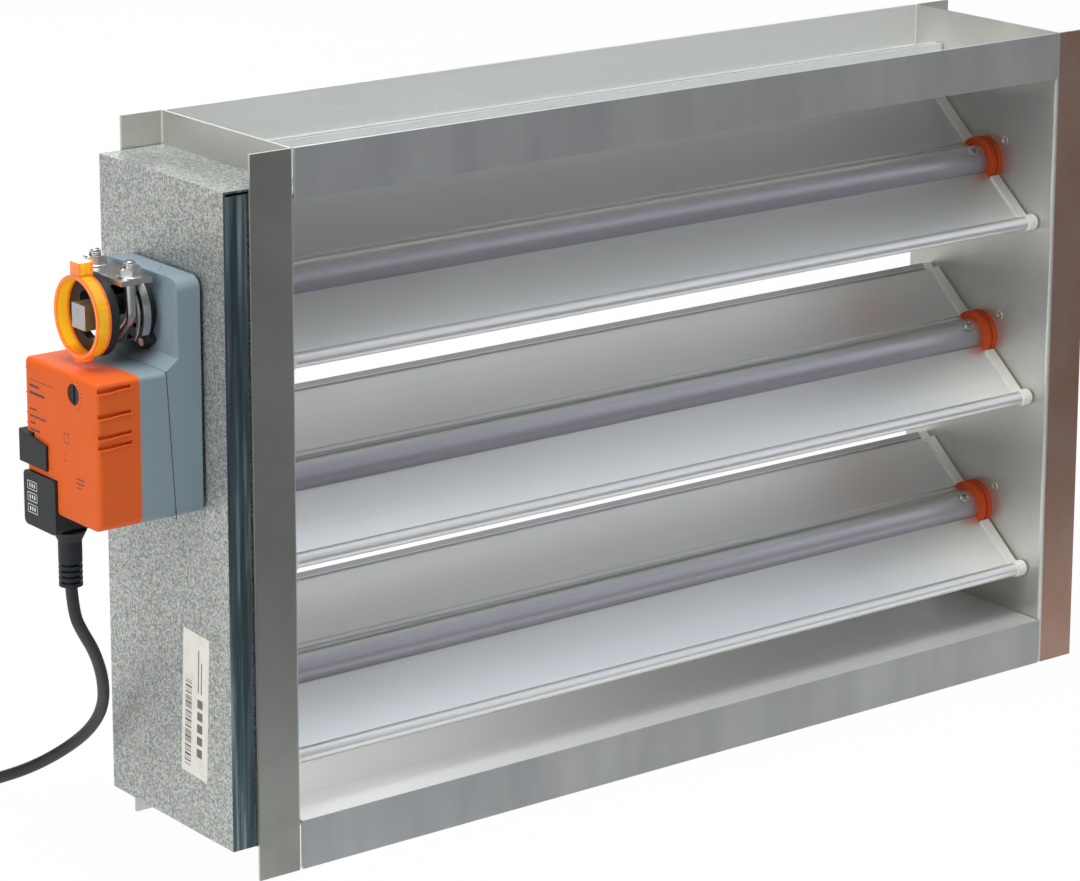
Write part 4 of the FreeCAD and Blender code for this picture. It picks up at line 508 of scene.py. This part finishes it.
def print_marks(name, material, body, slot, marks, spot, basis):
    """Flat printed marks; each is a centre and size in millimetres, and a turn in degrees, on one plane."""
    film = 0.02 * MM
    surface = Surface()
    for across, up, width, tall, turn in marks:
        angle = math.radians(turn)
        centre = np.asarray(spot) + np.array([across * MM, up * MM, 0]) @ basis
        plate_mesh(surface, centre, spin(angle) @ basis, width * MM, tall * MM, film)
    surface.piece(name, material, body, slot)


def cross_recess(reach, width, depth, top):
    """Lowers the surface inside a cross: a soft step in both directions, tapering to the tips."""
    def shape(radius, height, angle):
        x = np.abs(radius * np.cos(angle))
        y = np.abs(radius * np.sin(angle))
        slim = np.clip((width / 2 - np.minimum(x, y)) / (0.25 * width) + 0.5, 0, 1)
        short = np.clip((reach - np.maximum(x, y)) / (0.5 * reach), 0, 1)
        return radius, height - depth * slim * short * (height > top)
    return shape


def pan_screws(name, body, spots, diameter, head, rise, length, replaced):
    """Pan heads with a cross recess: a rounded rim, a low dome and a straight shank, in millimetres."""
    edge = np.linspace(0, np.pi / 2, 7)
    rim = 0.55 * rise
    outer = np.stack([head / 2 - rim * (1 - np.cos(edge)), rise - rim + rim * np.sin(edge)], axis=1)
    inner_radius = np.linspace(head / 2 - rim, 0, 16)
    crown = 0.08 * rise * (1 - (inner_radius / (head / 2 - rim)) ** 2)
    dome = np.stack([inner_radius, rise + crown], axis=1)
    profile = np.concatenate([[(0, -length), (diameter / 2, -length), (diameter / 2, 0), (head / 2, 0)],
                              outer, dome])
    surface = Surface()
    recess = cross_recess(0.36 * head, 0.17 * head, 0.55 * rise, 0.8 * rise)
    for spot, out in spots:
        surface.grid(turned(profile * MM, spot, axes_about(out, (0.3, 0.2, 1)), 64,
                            lambda r, z, a: tuple(part * MM for part in recess(r / MM, z / MM, a))))
    surface.piece(name, ZINC, body, "zinc_steel", replaced)


# Camera, world and lamps

def camera():
    """The photograph's viewing angle: azimuth, elevation and roll about a point on the middle plane."""
    azimuth, elevation, roll = (math.radians(angle) for angle in (-37.46, 13.11, 0.13))
    distance = 2.0028
    target = np.array([-0.02349, 0.0, 0.28643])
    focal_pixels = 3913.76
    frame_width, frame_height, axis_row = 1080, 881, 224
    back = np.array([math.sin(azimuth) * math.cos(elevation), -math.cos(azimuth) * math.cos(elevation),
                     math.sin(elevation)])
    right = unit(np.cross(-back, (0, 0, 1)))
    up = np.cross(back, right)
    across = right * math.cos(roll) + up * math.sin(roll)
    data = bpy.data.cameras.new("camera")
    data.sensor_width = 36.0
    data.lens = focal_pixels * data.sensor_width / frame_width
    data.shift_y = (axis_row - frame_height / 2) / frame_width
    item = bpy.data.objects.new("camera", data)
    bpy.context.scene.collection.objects.link(item)
    turn = Matrix(np.array([across, np.cross(back, across), back]).T.tolist()).to_4x4()
    item.matrix_world = Matrix.Translation((target + back * distance).tolist()) @ turn
    bpy.context.scene.camera = item


def backdrop():
    """White for the camera and in gloss and glass; a softer grey for the diffuse light."""
    world = bpy.data.worlds.new("studio")
    bpy.context.scene.world = world
    world.use_nodes = True
    tree = world.node_tree
    background = tree.nodes["Background"]
    rays = tree.nodes.new("ShaderNodeLightPath")
    seen = rays.outputs["Is Camera Ray"]
    for output in ("Is Glossy Ray", "Is Transmission Ray"):
        both = tree.nodes.new("ShaderNodeMath")
        both.operation = "MAXIMUM"
        tree.links.new(seen, both.inputs[0])
        tree.links.new(rays.outputs[output], both.inputs[1])
        seen = both.outputs[0]
    strength = tree.nodes.new("ShaderNodeMapRange")
    strength.inputs["To Min"].default_value = 0.55
    strength.inputs["To Max"].default_value = 1.0
    tree.links.new(seen, strength.inputs["Value"])
    tree.links.new(strength.outputs[0], background.inputs["Strength"])


def floor():
    """Pale floor that keeps the soft shadow and otherwise shows as white."""
    half = 6.0
    mesh = bpy.data.meshes.new("floor")
    corners = [(-half, -half, 0), (half, -half, 0), (half, half, 0), (-half, half, 0)]
    mesh.from_pydata(corners, [], [(0, 1, 2, 3)])
    item = bpy.data.objects.new("floor", mesh)
    bpy.context.scene.collection.objects.link(item)
    material = bpy.data.materials.new("pale_floor")
    material.use_nodes = True
    tree = material.node_tree
    shader = tree.nodes["Principled BSDF"]
    shader.inputs["Base Color"].default_value = (0.86, 0.86, 0.86, 1)
    shader.inputs["Roughness"].default_value = 0.9
    glow = tree.nodes.new("ShaderNodeEmission")
    rays = tree.nodes.new("ShaderNodeLightPath")
    share = tree.nodes.new("ShaderNodeMath")
    share.operation = "MULTIPLY"
    share.inputs[1].default_value = 0.965
    blend = tree.nodes.new("ShaderNodeMixShader")
    seen = tree.nodes.new("ShaderNodeMath")
    seen.operation = "MAXIMUM"
    tree.links.new(rays.outputs["Is Camera Ray"], seen.inputs[0])
    tree.links.new(rays.outputs["Is Glossy Ray"], seen.inputs[1])
    tree.links.new(seen.outputs[0], share.inputs[0])
    tree.links.new(share.outputs[0], blend.inputs[0])
    tree.links.new(shader.outputs[0], blend.inputs[1])
    tree.links.new(glow.outputs[0], blend.inputs[2])
    tree.links.new(blend.outputs[0], tree.nodes["Material Output"].inputs["Surface"])
    mesh.materials.append(material)


def lamp(name, spot, aim, size, watts):
    """White area lamp that shows only weakly in gloss."""
    data = bpy.data.lights.new(name, "AREA")
    data.shape = "RECTANGLE"
    data.size, data.size_y = size
    data.energy = watts
    data.specular_factor = 0.4
    item = bpy.data.objects.new(name, data)
    bpy.context.scene.collection.objects.link(item)
    way = Vector(aim) - Vector(spot)
    item.rotation_mode = "QUATERNION"
    item.rotation_quaternion = way.to_track_quat("-Z", "Y")
    item.location = spot


def flag(name, spot, aim, width, tall, level):
    """A studio card that only shows in gloss, so that bare metal has something darker to mirror."""
    basis = axes_about(np.asarray(aim) - np.asarray(spot))
    corners = np.array([(-1, -1, 0), (1, -1, 0), (1, 1, 0), (-1, 1, 0)]) * (width / 2, tall / 2, 0)
    mesh = bpy.data.meshes.new(name)
    mesh.from_pydata((corners @ basis + np.asarray(spot)).tolist(), [], [(0, 1, 2, 3)])
    item = bpy.data.objects.new(name, mesh)
    bpy.context.scene.collection.objects.link(item)
    material = bpy.data.materials.new(name)
    material.use_nodes = True
    tree = material.node_tree
    glow = tree.nodes.new("ShaderNodeEmission")
    glow.inputs["Color"].default_value = (*level, 1)
    tree.links.new(glow.outputs[0], tree.nodes["Material Output"].inputs["Surface"])
    mesh.materials.append(material)
    item.visible_camera = False
    item.visible_diffuse = False
    item.visible_shadow = False
    item.visible_transmission = False


camera()
backdrop()
floor()
lamp("key", (-2.6, -0.6, 1.5), (0, 0, 0.2), (1.5, 1.5), 42)
lamp("top", (-0.3, -0.2, 2.7), (0, 0, 0.2), (1.8, 1.6), 72)
lamp("fill", (1.8, -2.2, 1.2), (0, 0, 0.2), (1.2, 1.2), 3)
lamp("back", (0.6, 2.2, 0.9), (0, 0, 0.1), (1.6, 1.0), 14)
flag("low_card", (1.3, -1.9, 0.002), (1.3, -1.9, 1.0), 4.4, 3.4, (0.25, 0.24, 0.27))
flag("sky_card", (1.9, -0.6, 2.2), (0.1, 0, 0.2), 3.4, 3.0, (0.70, 0.77, 0.88))
flag("front_card", (1.2, -2.9, 0.5), (0, 0, 0.2), 3.6, 1.2, (0.5, 0.48, 0.46))


# Lead

# Way of the lead from the strain relief's end to the coil: offsets from the outlet along X and Y,
# and the height of its centre line above the floor, in millimetres.
ROUTE = [
    (1.1, 0.2, 131.6),
    (6.8, 2.5, 120.9),
    (16.7, 7.5, 106.8),
    (26.8, 17.0, 87.5),
    (34.4, 30.5, 67.9),
    (36.1, 47.0, 50.5),
    (32.0, 66.0, 35.1),
    (22.7, 84.5, 22.0),
    (11.2, 103.5, 12.4),
    (0.5, 123.5, 3.0),
    (-9.0, 142.0, 3.0),
]
LEAD_DIAMETER = 6 * MM
relief_low, relief_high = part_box("strain_relief")
OUTLET = np.array([(relief_low.x + relief_high.x) / 2, (relief_low.y + relief_high.y) / 2, relief_low.z])


def coil_turns(start, way):
    """Points round the coil: two wide and narrow turns on the floor, two on them, and a straight tail.

    The centre lies to the left of the lead. The radius and the height change smoothly between turns.
    """
    wide, narrow = 36 * MM, 30 * MM
    low, high = LEAD_DIAMETER / 2, LEAD_DIAMETER * 1.5
    entry = 24 * MM
    steps = 14
    left = np.array([-way[1], way[0], 0])
    centre = np.array([start[0], start[1], 0]) + way * entry + left * wide
    turns = 3.5
    turn = np.arange(1, int(turns * steps)) / steps
    radius = np.interp(turn, [0, 0.85, 1.1, 2.85, 3.1, turns], [wide, wide, narrow, narrow, wide, wide])
    height = np.interp(turn, [0, 1.85, 2.1, turns], [low, low, high, high])
    angle = 2 * np.pi * turn
    ring = centre + radius[:, None] * (np.sin(angle)[:, None] * way - np.cos(angle)[:, None] * left)
    ring[:, 2] = height
    touch = start + way * entry
    tail = centre + left * wide
    after = np.array([tail - way * reach * MM for reach in (0, 9, 19, 34)])
    after[:, 2] = np.array([8.8, 7.4, 4.4, 3.0]) * MM
    return np.concatenate([[touch], ring, after])


def lead():
    points = [OUTLET] + [OUTLET * (1, 1, 0) + np.array(offset) * MM for offset in ROUTE]
    way = unit(points[-1] - points[-2])
    points = np.concatenate([points, coil_turns(points[-1], way)])
    data = bpy.data.curves.new("lead_cord", "CURVE")
    data.dimensions = "3D"
    data.bevel_depth = LEAD_DIAMETER / 2
    data.bevel_resolution = 6
    data.resolution_u = 8
    data.use_fill_caps = True
    spline = data.splines.new("NURBS")
    spline.points.add(len(points) - 1)
    weighted = np.column_stack([points, np.ones(len(points))])
    spline.points.foreach_set("co", weighted.astype(np.float32).ravel())
    spline.order_u = 3
    spline.use_endpoint_u = True
    item = bpy.data.objects.new("lead_cord", data)
    bpy.context.scene.collection.objects.link(item)
    data.materials.append(JACKET)
    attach(item, "frame")
    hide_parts("lead", "lead_coil")


lead()


# Screws

def blade_screws():
    """Cross-recessed screws through both ends of each blade's tube into the hubs."""
    inset = 8.5 * MM
    tube = 17.5 * MM
    for name, (body, height) in BLADE_ROWS.items():
        low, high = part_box(name)
        spots = []
        for along in (low.x + inset, high.x - inset):
            axis = np.array([along, PIVOT_Y, height])
            spots.append((axis + BLADE_FRONT * (tube / 2 - 0.1 * MM), BLADE_FRONT))
        pan_screws(name + "_screw_heads", body, spots, 3.5, 6.6, 2.5, 8, [name + "_screws"])


def frame_screws():
    """Eight screws through the side plates into the channels' screw ports."""
    low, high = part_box("frame_screws")
    head, rise = 4.8, 2.2
    reach = head * MM / 2
    spots = []
    for along, out in ((low.x + rise * MM, (-1, 0, 0)), (high.x - rise * MM, (1, 0, 0))):
        for across in (low.y + reach, high.y - reach):
            for up in (low.z + reach, high.z - reach):
                spots.append((np.array([along, across, up]), out))
    pan_screws("frame_screw_heads", "frame", spots, 3.6, head, rise, 14, ["frame_screws"])


blade_screws()
frame_screws()


# Shaft clamp and small things on the actuator

def helix(core, depth, pitch, end):
    """Thread on a turned rod: its radius rises and falls with height and angle, and fades at its end."""
    def shape(radius, height, angle):
        share = np.mod(height / pitch - angle / (2 * np.pi), 1)
        crest = core + depth * (1 - np.abs(2 * share - 1))
        fade = np.clip((end - height) / (1.2 * pitch), 0, 1)
        return np.minimum(radius, core - depth + (crest - core + depth) * fade), height
    return shape


def hexagon(across, start, top, chamfer):
    """Turns a round profile into a nut with chamfered corners above the height of its flange."""
    def shape(radius, height, angle):
        turn = np.mod(angle + np.pi / 6, np.pi / 3) - np.pi / 6
        flat = across / 2 / np.cos(turn)
        cone = across / 2 * 1.02 + (top - height) / chamfer * across * 0.08
        outer = (radius > across / 2) & (height > start)
        return np.where(outer, np.minimum(flat, cone), radius), height
    return shape


def nuts_and_threads():
    """Two flange nuts on the clamp, with the bolt's threaded ends above them."""
    low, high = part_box("clamp_nuts")
    bolt_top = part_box("clamp_bolt")[1].z
    washer = 12.5 * MM / 2
    height = (high.z - low.z) / MM
    across = 10.0
    nut_rows = [(2.8, 0), (6.25, 0), (6.25, 0.5), (5.9, 0.9), (5.2, 1.0)]
    nut_rows += [(5.9, up) for up in (1.01, 2.2, 3.6, 4.2, 4.6, height)]
    nut_rows += [(3.2, height), (2.8, height - 0.5)]
    reach = (bolt_top - high.z) / MM
    core, depth, pitch = 2.55, 0.4, 1.0
    rows = [(3.2, -0.6 + 0.1 * step) for step in range(round((reach + 0.6) / 0.1))]
    rows += [(2.6, reach), (1.8, reach + 0.35), (0, reach + 0.45)]
    nuts = Surface()
    threads = Surface()
    middle = (low.x + high.x) / 2
    for along in (low.y + washer, high.y - washer):
        for surface, profile, spot, shape in (
                (nuts, nut_rows, (middle, along, low.z), hexagon(across, 1.0, height, 0.9)),
                (threads, rows, (middle, along, high.z), helix(core, depth, pitch, reach + 0.2))):
            surface.grid(turned(np.array(profile) * MM, spot, axes_about((0, 0, 1), (0.3, 1, 0)), 48,
                                lambda r, z, a: tuple(part * MM for part in shape(r / MM, z / MM, a))))
    nuts.piece("flange_nuts", ZINC, "top_blade", "zinc_steel", ["clamp_nuts"])
    threads.piece("bolt_threads", ZINC, "top_blade", "zinc_steel")


def rib(surface, points, width, rise, out):
    """A rounded bead along a row of points, closed at both ends."""
    points = np.asarray(points, float)
    angle = np.linspace(0, 2 * np.pi, 10, endpoint=False)
    ends = np.concatenate([[0], np.ones(len(points)), [0]])
    line = np.concatenate([points[:1], points, points[-1:]])
    loop = np.stack([np.cos(angle) * width / 2, np.sin(angle) * rise], axis=1)
    up = np.array([0, 0, 1.0])
    spread = loop[None, :, :1] * up + loop[None, :, 1:] * np.asarray(out, float)
    surface.grid(line[:, None, :] + spread * ends[:, None, None])


def vent_lips():
    """Wavy lips under the vent slots on both sides of the orange cover."""
    low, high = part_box("actuator_cover")
    surface = Surface()
    length = 18.5 * MM
    for side, out in ((low.y, (0, -1, 0)), (high.y, (0, 1, 0))):
        for drop in (3.6, 15.8, 25.8, 30.8):
            points = []
            for share in np.linspace(0, 1, 28):
                wave = 1 / (1 + math.exp(-(share - 0.42) * 22))
                dip = 0.5 * math.sin(share * 3 * math.pi) * (1 - share)
                height = high.z - (drop + 2.1 - 1.0 * wave - 0.35 * dip) * MM
                points.append((low.x + 0.9 * MM + length * share, side, height))
            rib(surface, points, 0.9 * MM, 0.45 * MM, out)
    surface.piece("vent_lips", CASE_ORANGE, "frame", "case_orange")


def signal_lens():
    """Small domed lens beside the release button."""
    surface = Surface()
    dome = [(1.5 * math.cos(turn), 0.55 * math.sin(turn)) for turn in np.linspace(0, math.pi / 2, 8)]
    profile = np.array([(0, -0.3), (1.9, -0.3), (1.9, 0.12), (1.6, 0.15), *dome]) * MM
    surface.grid(turned(profile, (CASE_FRONT, -6.4 * MM, 214.5 * MM), axes_about((-1, 0, 0)), 32))
    surface.piece("signal_lens", CASE_ORANGE, "frame", "case_orange")


def ring_lug():
    """Small rounded lug under the position ring."""
    low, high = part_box("position_ring")
    ring_radius, wide, tall = 20.0 * MM, 7.0 * MM, 2.6 * MM
    turn = np.linspace(0, 2 * np.pi, 20, endpoint=False)
    spot = np.array([0, PIVOT_Y, SHAFT_Z - ring_radius - tall / 3])
    rows = []
    for share, reach in ((0, 0), (0, 0.8), (0.12, 1), (0.88, 1), (1, 0.8), (1, 0)):
        along = np.full(len(turn), low.x + (high.x - low.x) * share)
        across, up = wide / 2 * reach * np.cos(turn), tall / 2 * reach * np.sin(turn)
        rows.append(np.stack([along, across, up], axis=1))
    surface = Surface().grid(np.array(rows) + spot)
    surface.piece("ring_lug", AMBER, "top_blade", "amber")


def seam_lines():
    """Shadow line where the grey shells meet: on both sides, underneath, and across the top."""
    low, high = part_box("actuator_rear_shell")
    top, bottom = SHAFT_Z - 24.2 * MM, low.z
    upper, lower = 19.4 * MM, 15.2 * MM
    lean = math.atan2(upper - lower, top - bottom)
    wide, thin = 0.55 * MM, 0.03 * MM
    length = (top - bottom) / math.cos(lean)
    surface = Surface()
    for side, out in ((low.y, (0, -1, 0)), (high.y, (0, 1, 0))):
        spot = (SHELL_BACK - (upper + lower) / 2, side, (top + bottom) / 2)
        along = np.array([-math.sin(lean), 0, math.cos(lean)])
        plate_mesh(surface, spot, np.array([np.cross(along, out), along, out]), wide, length, thin)
    for drop, height, facing in ((upper, top, 1), (lower, bottom, -1)):
        spot = (SHELL_BACK - drop, PIVOT_Y, height)
        basis = np.array([(facing, 0, 0), (0, 1, 0), (0, 0, facing)], float)
        plate_mesh(surface, spot, basis, wide, high.y - low.y, thin)
    surface.piece("case_seam", SEAM, "frame", "case_grey")


def clamp_cage():
    """Two bent strips under the saddle that hold the clamp round the front of the hub."""
    saddle_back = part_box("clamp_saddle")[1].x
    surface = Surface()
    for start, wide, radius, first, last in ((-3.9, 4.0, 19.4, 62, -28), (-6.3, 1.1, 18.2, 60, -40)):
        thick = 1.4
        loop = np.array([(0, 0), (wide, 0), (wide, thick), (0, thick)]) - (0, thick / 2)
        turn = np.radians(np.linspace(first, last, 30))
        ends = np.concatenate([[0], np.ones(len(turn)), [0]])
        turn = np.concatenate([turn[:1], turn, turn[-1:]])
        centre = np.array([wide / 2, 0])
        section = centre + (loop - centre)[None] * ends[:, None, None]
        reach = (radius + section[..., 1]) * MM
        points = np.stack([saddle_back + (start + section[..., 0]) * MM, PIVOT_Y - reach * np.cos(turn)[:, None],
                           SHAFT_Z + reach * np.sin(turn)[:, None]], axis=-1)
        surface.grid(points)
    surface.piece("clamp_cage", ZINC, "top_blade", "zinc_steel")


def clinch_marks():
    """Three small clinched buttons inside the right side plate, beside the bushes."""
    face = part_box("right_side_plate")[0].x
    aside, above = 14.5 * MM, 13.0 * MM
    rows = [(0, -0.3), (2.5, -0.3), (2.5, 0.1), (2.1, 0.45), (1.4, 0.4), (1.0, 0.1), (0, 0.05)]
    surface = Surface()
    for body, height in BLADE_ROWS.values():
        spot = (face, PIVOT_Y - aside, height + above)
        surface.grid(turned(np.array(rows) * MM, spot, axes_about((-1, 0, 0)), 24))
    surface.piece("clinch_marks", PLATE, "frame", "galvanised")


seam_lines()
clamp_cage()
clinch_marks()
nuts_and_threads()
vent_lips()
signal_lens()
ring_lug()


# Marks: plain bars and ticks only

LEFTWARDS = np.array([[0, -1, 0], [0, 0, 1], [-1, 0, 0]], float)


def bars(left, top, widths, pitch, tall):
    """Rows of bars under each other, each as wide as listed; left and top are in millimetres."""
    return [(left + width / 2, top - pitch * row, width, tall, 0) for row, width in enumerate(widths)]


def cover_marks():
    """Thin bars on the orange front, and a tick scale round the direction switch."""
    spot = (CASE_FRONT, 0, 0)
    marks = bars(-25, 246.5, [23], 1, 0.35) + bars(-25, 243.6, [9, 14], 3.6, 1.3)
    marks += bars(-25, 232, [6, 15, 5, 9], 3.4, 0.9)
    switch_y, switch_z = (JOINTS["direction_turn"]["pos_m"][part] / MM for part in (1, 2))
    reach, line = 7.6, 0.35
    for angle in range(-60, 61, 15):
        turn = math.radians(angle)
        marks.append((-switch_y + reach * math.cos(turn), switch_z + reach * math.sin(turn), 1.4, line, angle))
    marks += [(across, 224.5, line, 4.9, 0) for across in (6.4, 10.6)]
    marks += [(8.5, up, 4.5, line, 0) for up in (226.8, 222.2)]
    marks += bars(17, 207, [7, 7, 4], 2.2, 0.7)
    print_marks("cover_marks", DARK_INK, "frame", "black_plastic", marks, spot, LEFTWARDS)


def terminal_marks():
    """Three white outlined fields with bars on the terminal cover."""
    spot = (TERMINAL_FRONT, 0, 0)
    marks = []
    left, wide, tall, line = -26.6, 8.6, 4.0, 0.35
    for top in (196.2, 190.4, 184.6):
        marks += [(left + wide / 2, top, wide, line, 0), (left + wide / 2, top - tall, wide, line, 0),
                  (left, top - tall / 2, line, tall, 0), (left + wide, top - tall / 2, line, tall, 0)]
        marks += [(left + 2.2 + 2.1 * index, top - tall / 2, 1.0, 2.0, 0) for index in range(3)]
    print_marks("terminal_marks", WHITE_INK, "frame", "seal_white", marks, spot, LEFTWARDS)


def neck_scale():
    """Fine radial ticks on the case's neck around the shaft clamp."""
    marks = []
    for angle in range(-50, 51, 4):
        turn = math.radians(angle)
        long = angle % 20 == 10
        middle = 28.6 if long else 29.2
        marks.append((-PIVOT_Y / MM + middle * math.cos(turn), SHAFT_Z / MM + middle * math.sin(turn),
                      3.6 if long else 2.4, 0.22, angle))
    print_marks("neck_scale", SCALE_INK, "frame", "black_plastic", marks, (NECK_FRONT, 0, 0), LEFTWARDS)


def cover_label():
    """Paper label on the linkage cover with plain bars and blocks; it leans 3.2 degrees."""
    turn = math.radians(90 - 3.2)
    middle = (22.95 * MM, 83.1 * MM)
    paper_thick = 0.1 * MM
    basis = spin(turn) @ LEFTWARDS
    centre = np.array([COVER_FACE, 0, 0]) + np.array([middle[0], middle[1], 0]) @ LEFTWARDS
    surface = Surface()
    plate_mesh(surface, centre, basis, 74 * MM, 23 * MM, paper_thick)
    surface.piece("cover_label", PAPER, "frame", "seal_white")
    marks = []
    place = -33.0
    widths = [0.5, 0.9, 0.4, 1.3, 0.6, 0.4, 1.0, 0.5, 0.8, 1.4, 0.4, 0.7]
    for index in range(30):
        wide = widths[index % len(widths)]
        marks.append((place + wide / 2, 6.0, wide, 5.5, 0))
        place += wide + widths[(index * 5 + 3) % len(widths)]
    marks += [(-24 + 6.4 * index, -4.2, 4.4, 4.6, 0) for index in range(5)]
    marks += [(18, -2.5, 22, 0.9, 0), (15, -5.2, 16, 0.9, 0)]
    print_marks("label_marks", LABEL_INK, "frame", "black_plastic", marks, centre - (paper_thick, 0, 0), basis)


cover_marks()
terminal_marks()
neck_scale()
cover_label()

scene = bpy.context.scene
scene.view_settings.view_transform = "Standard"
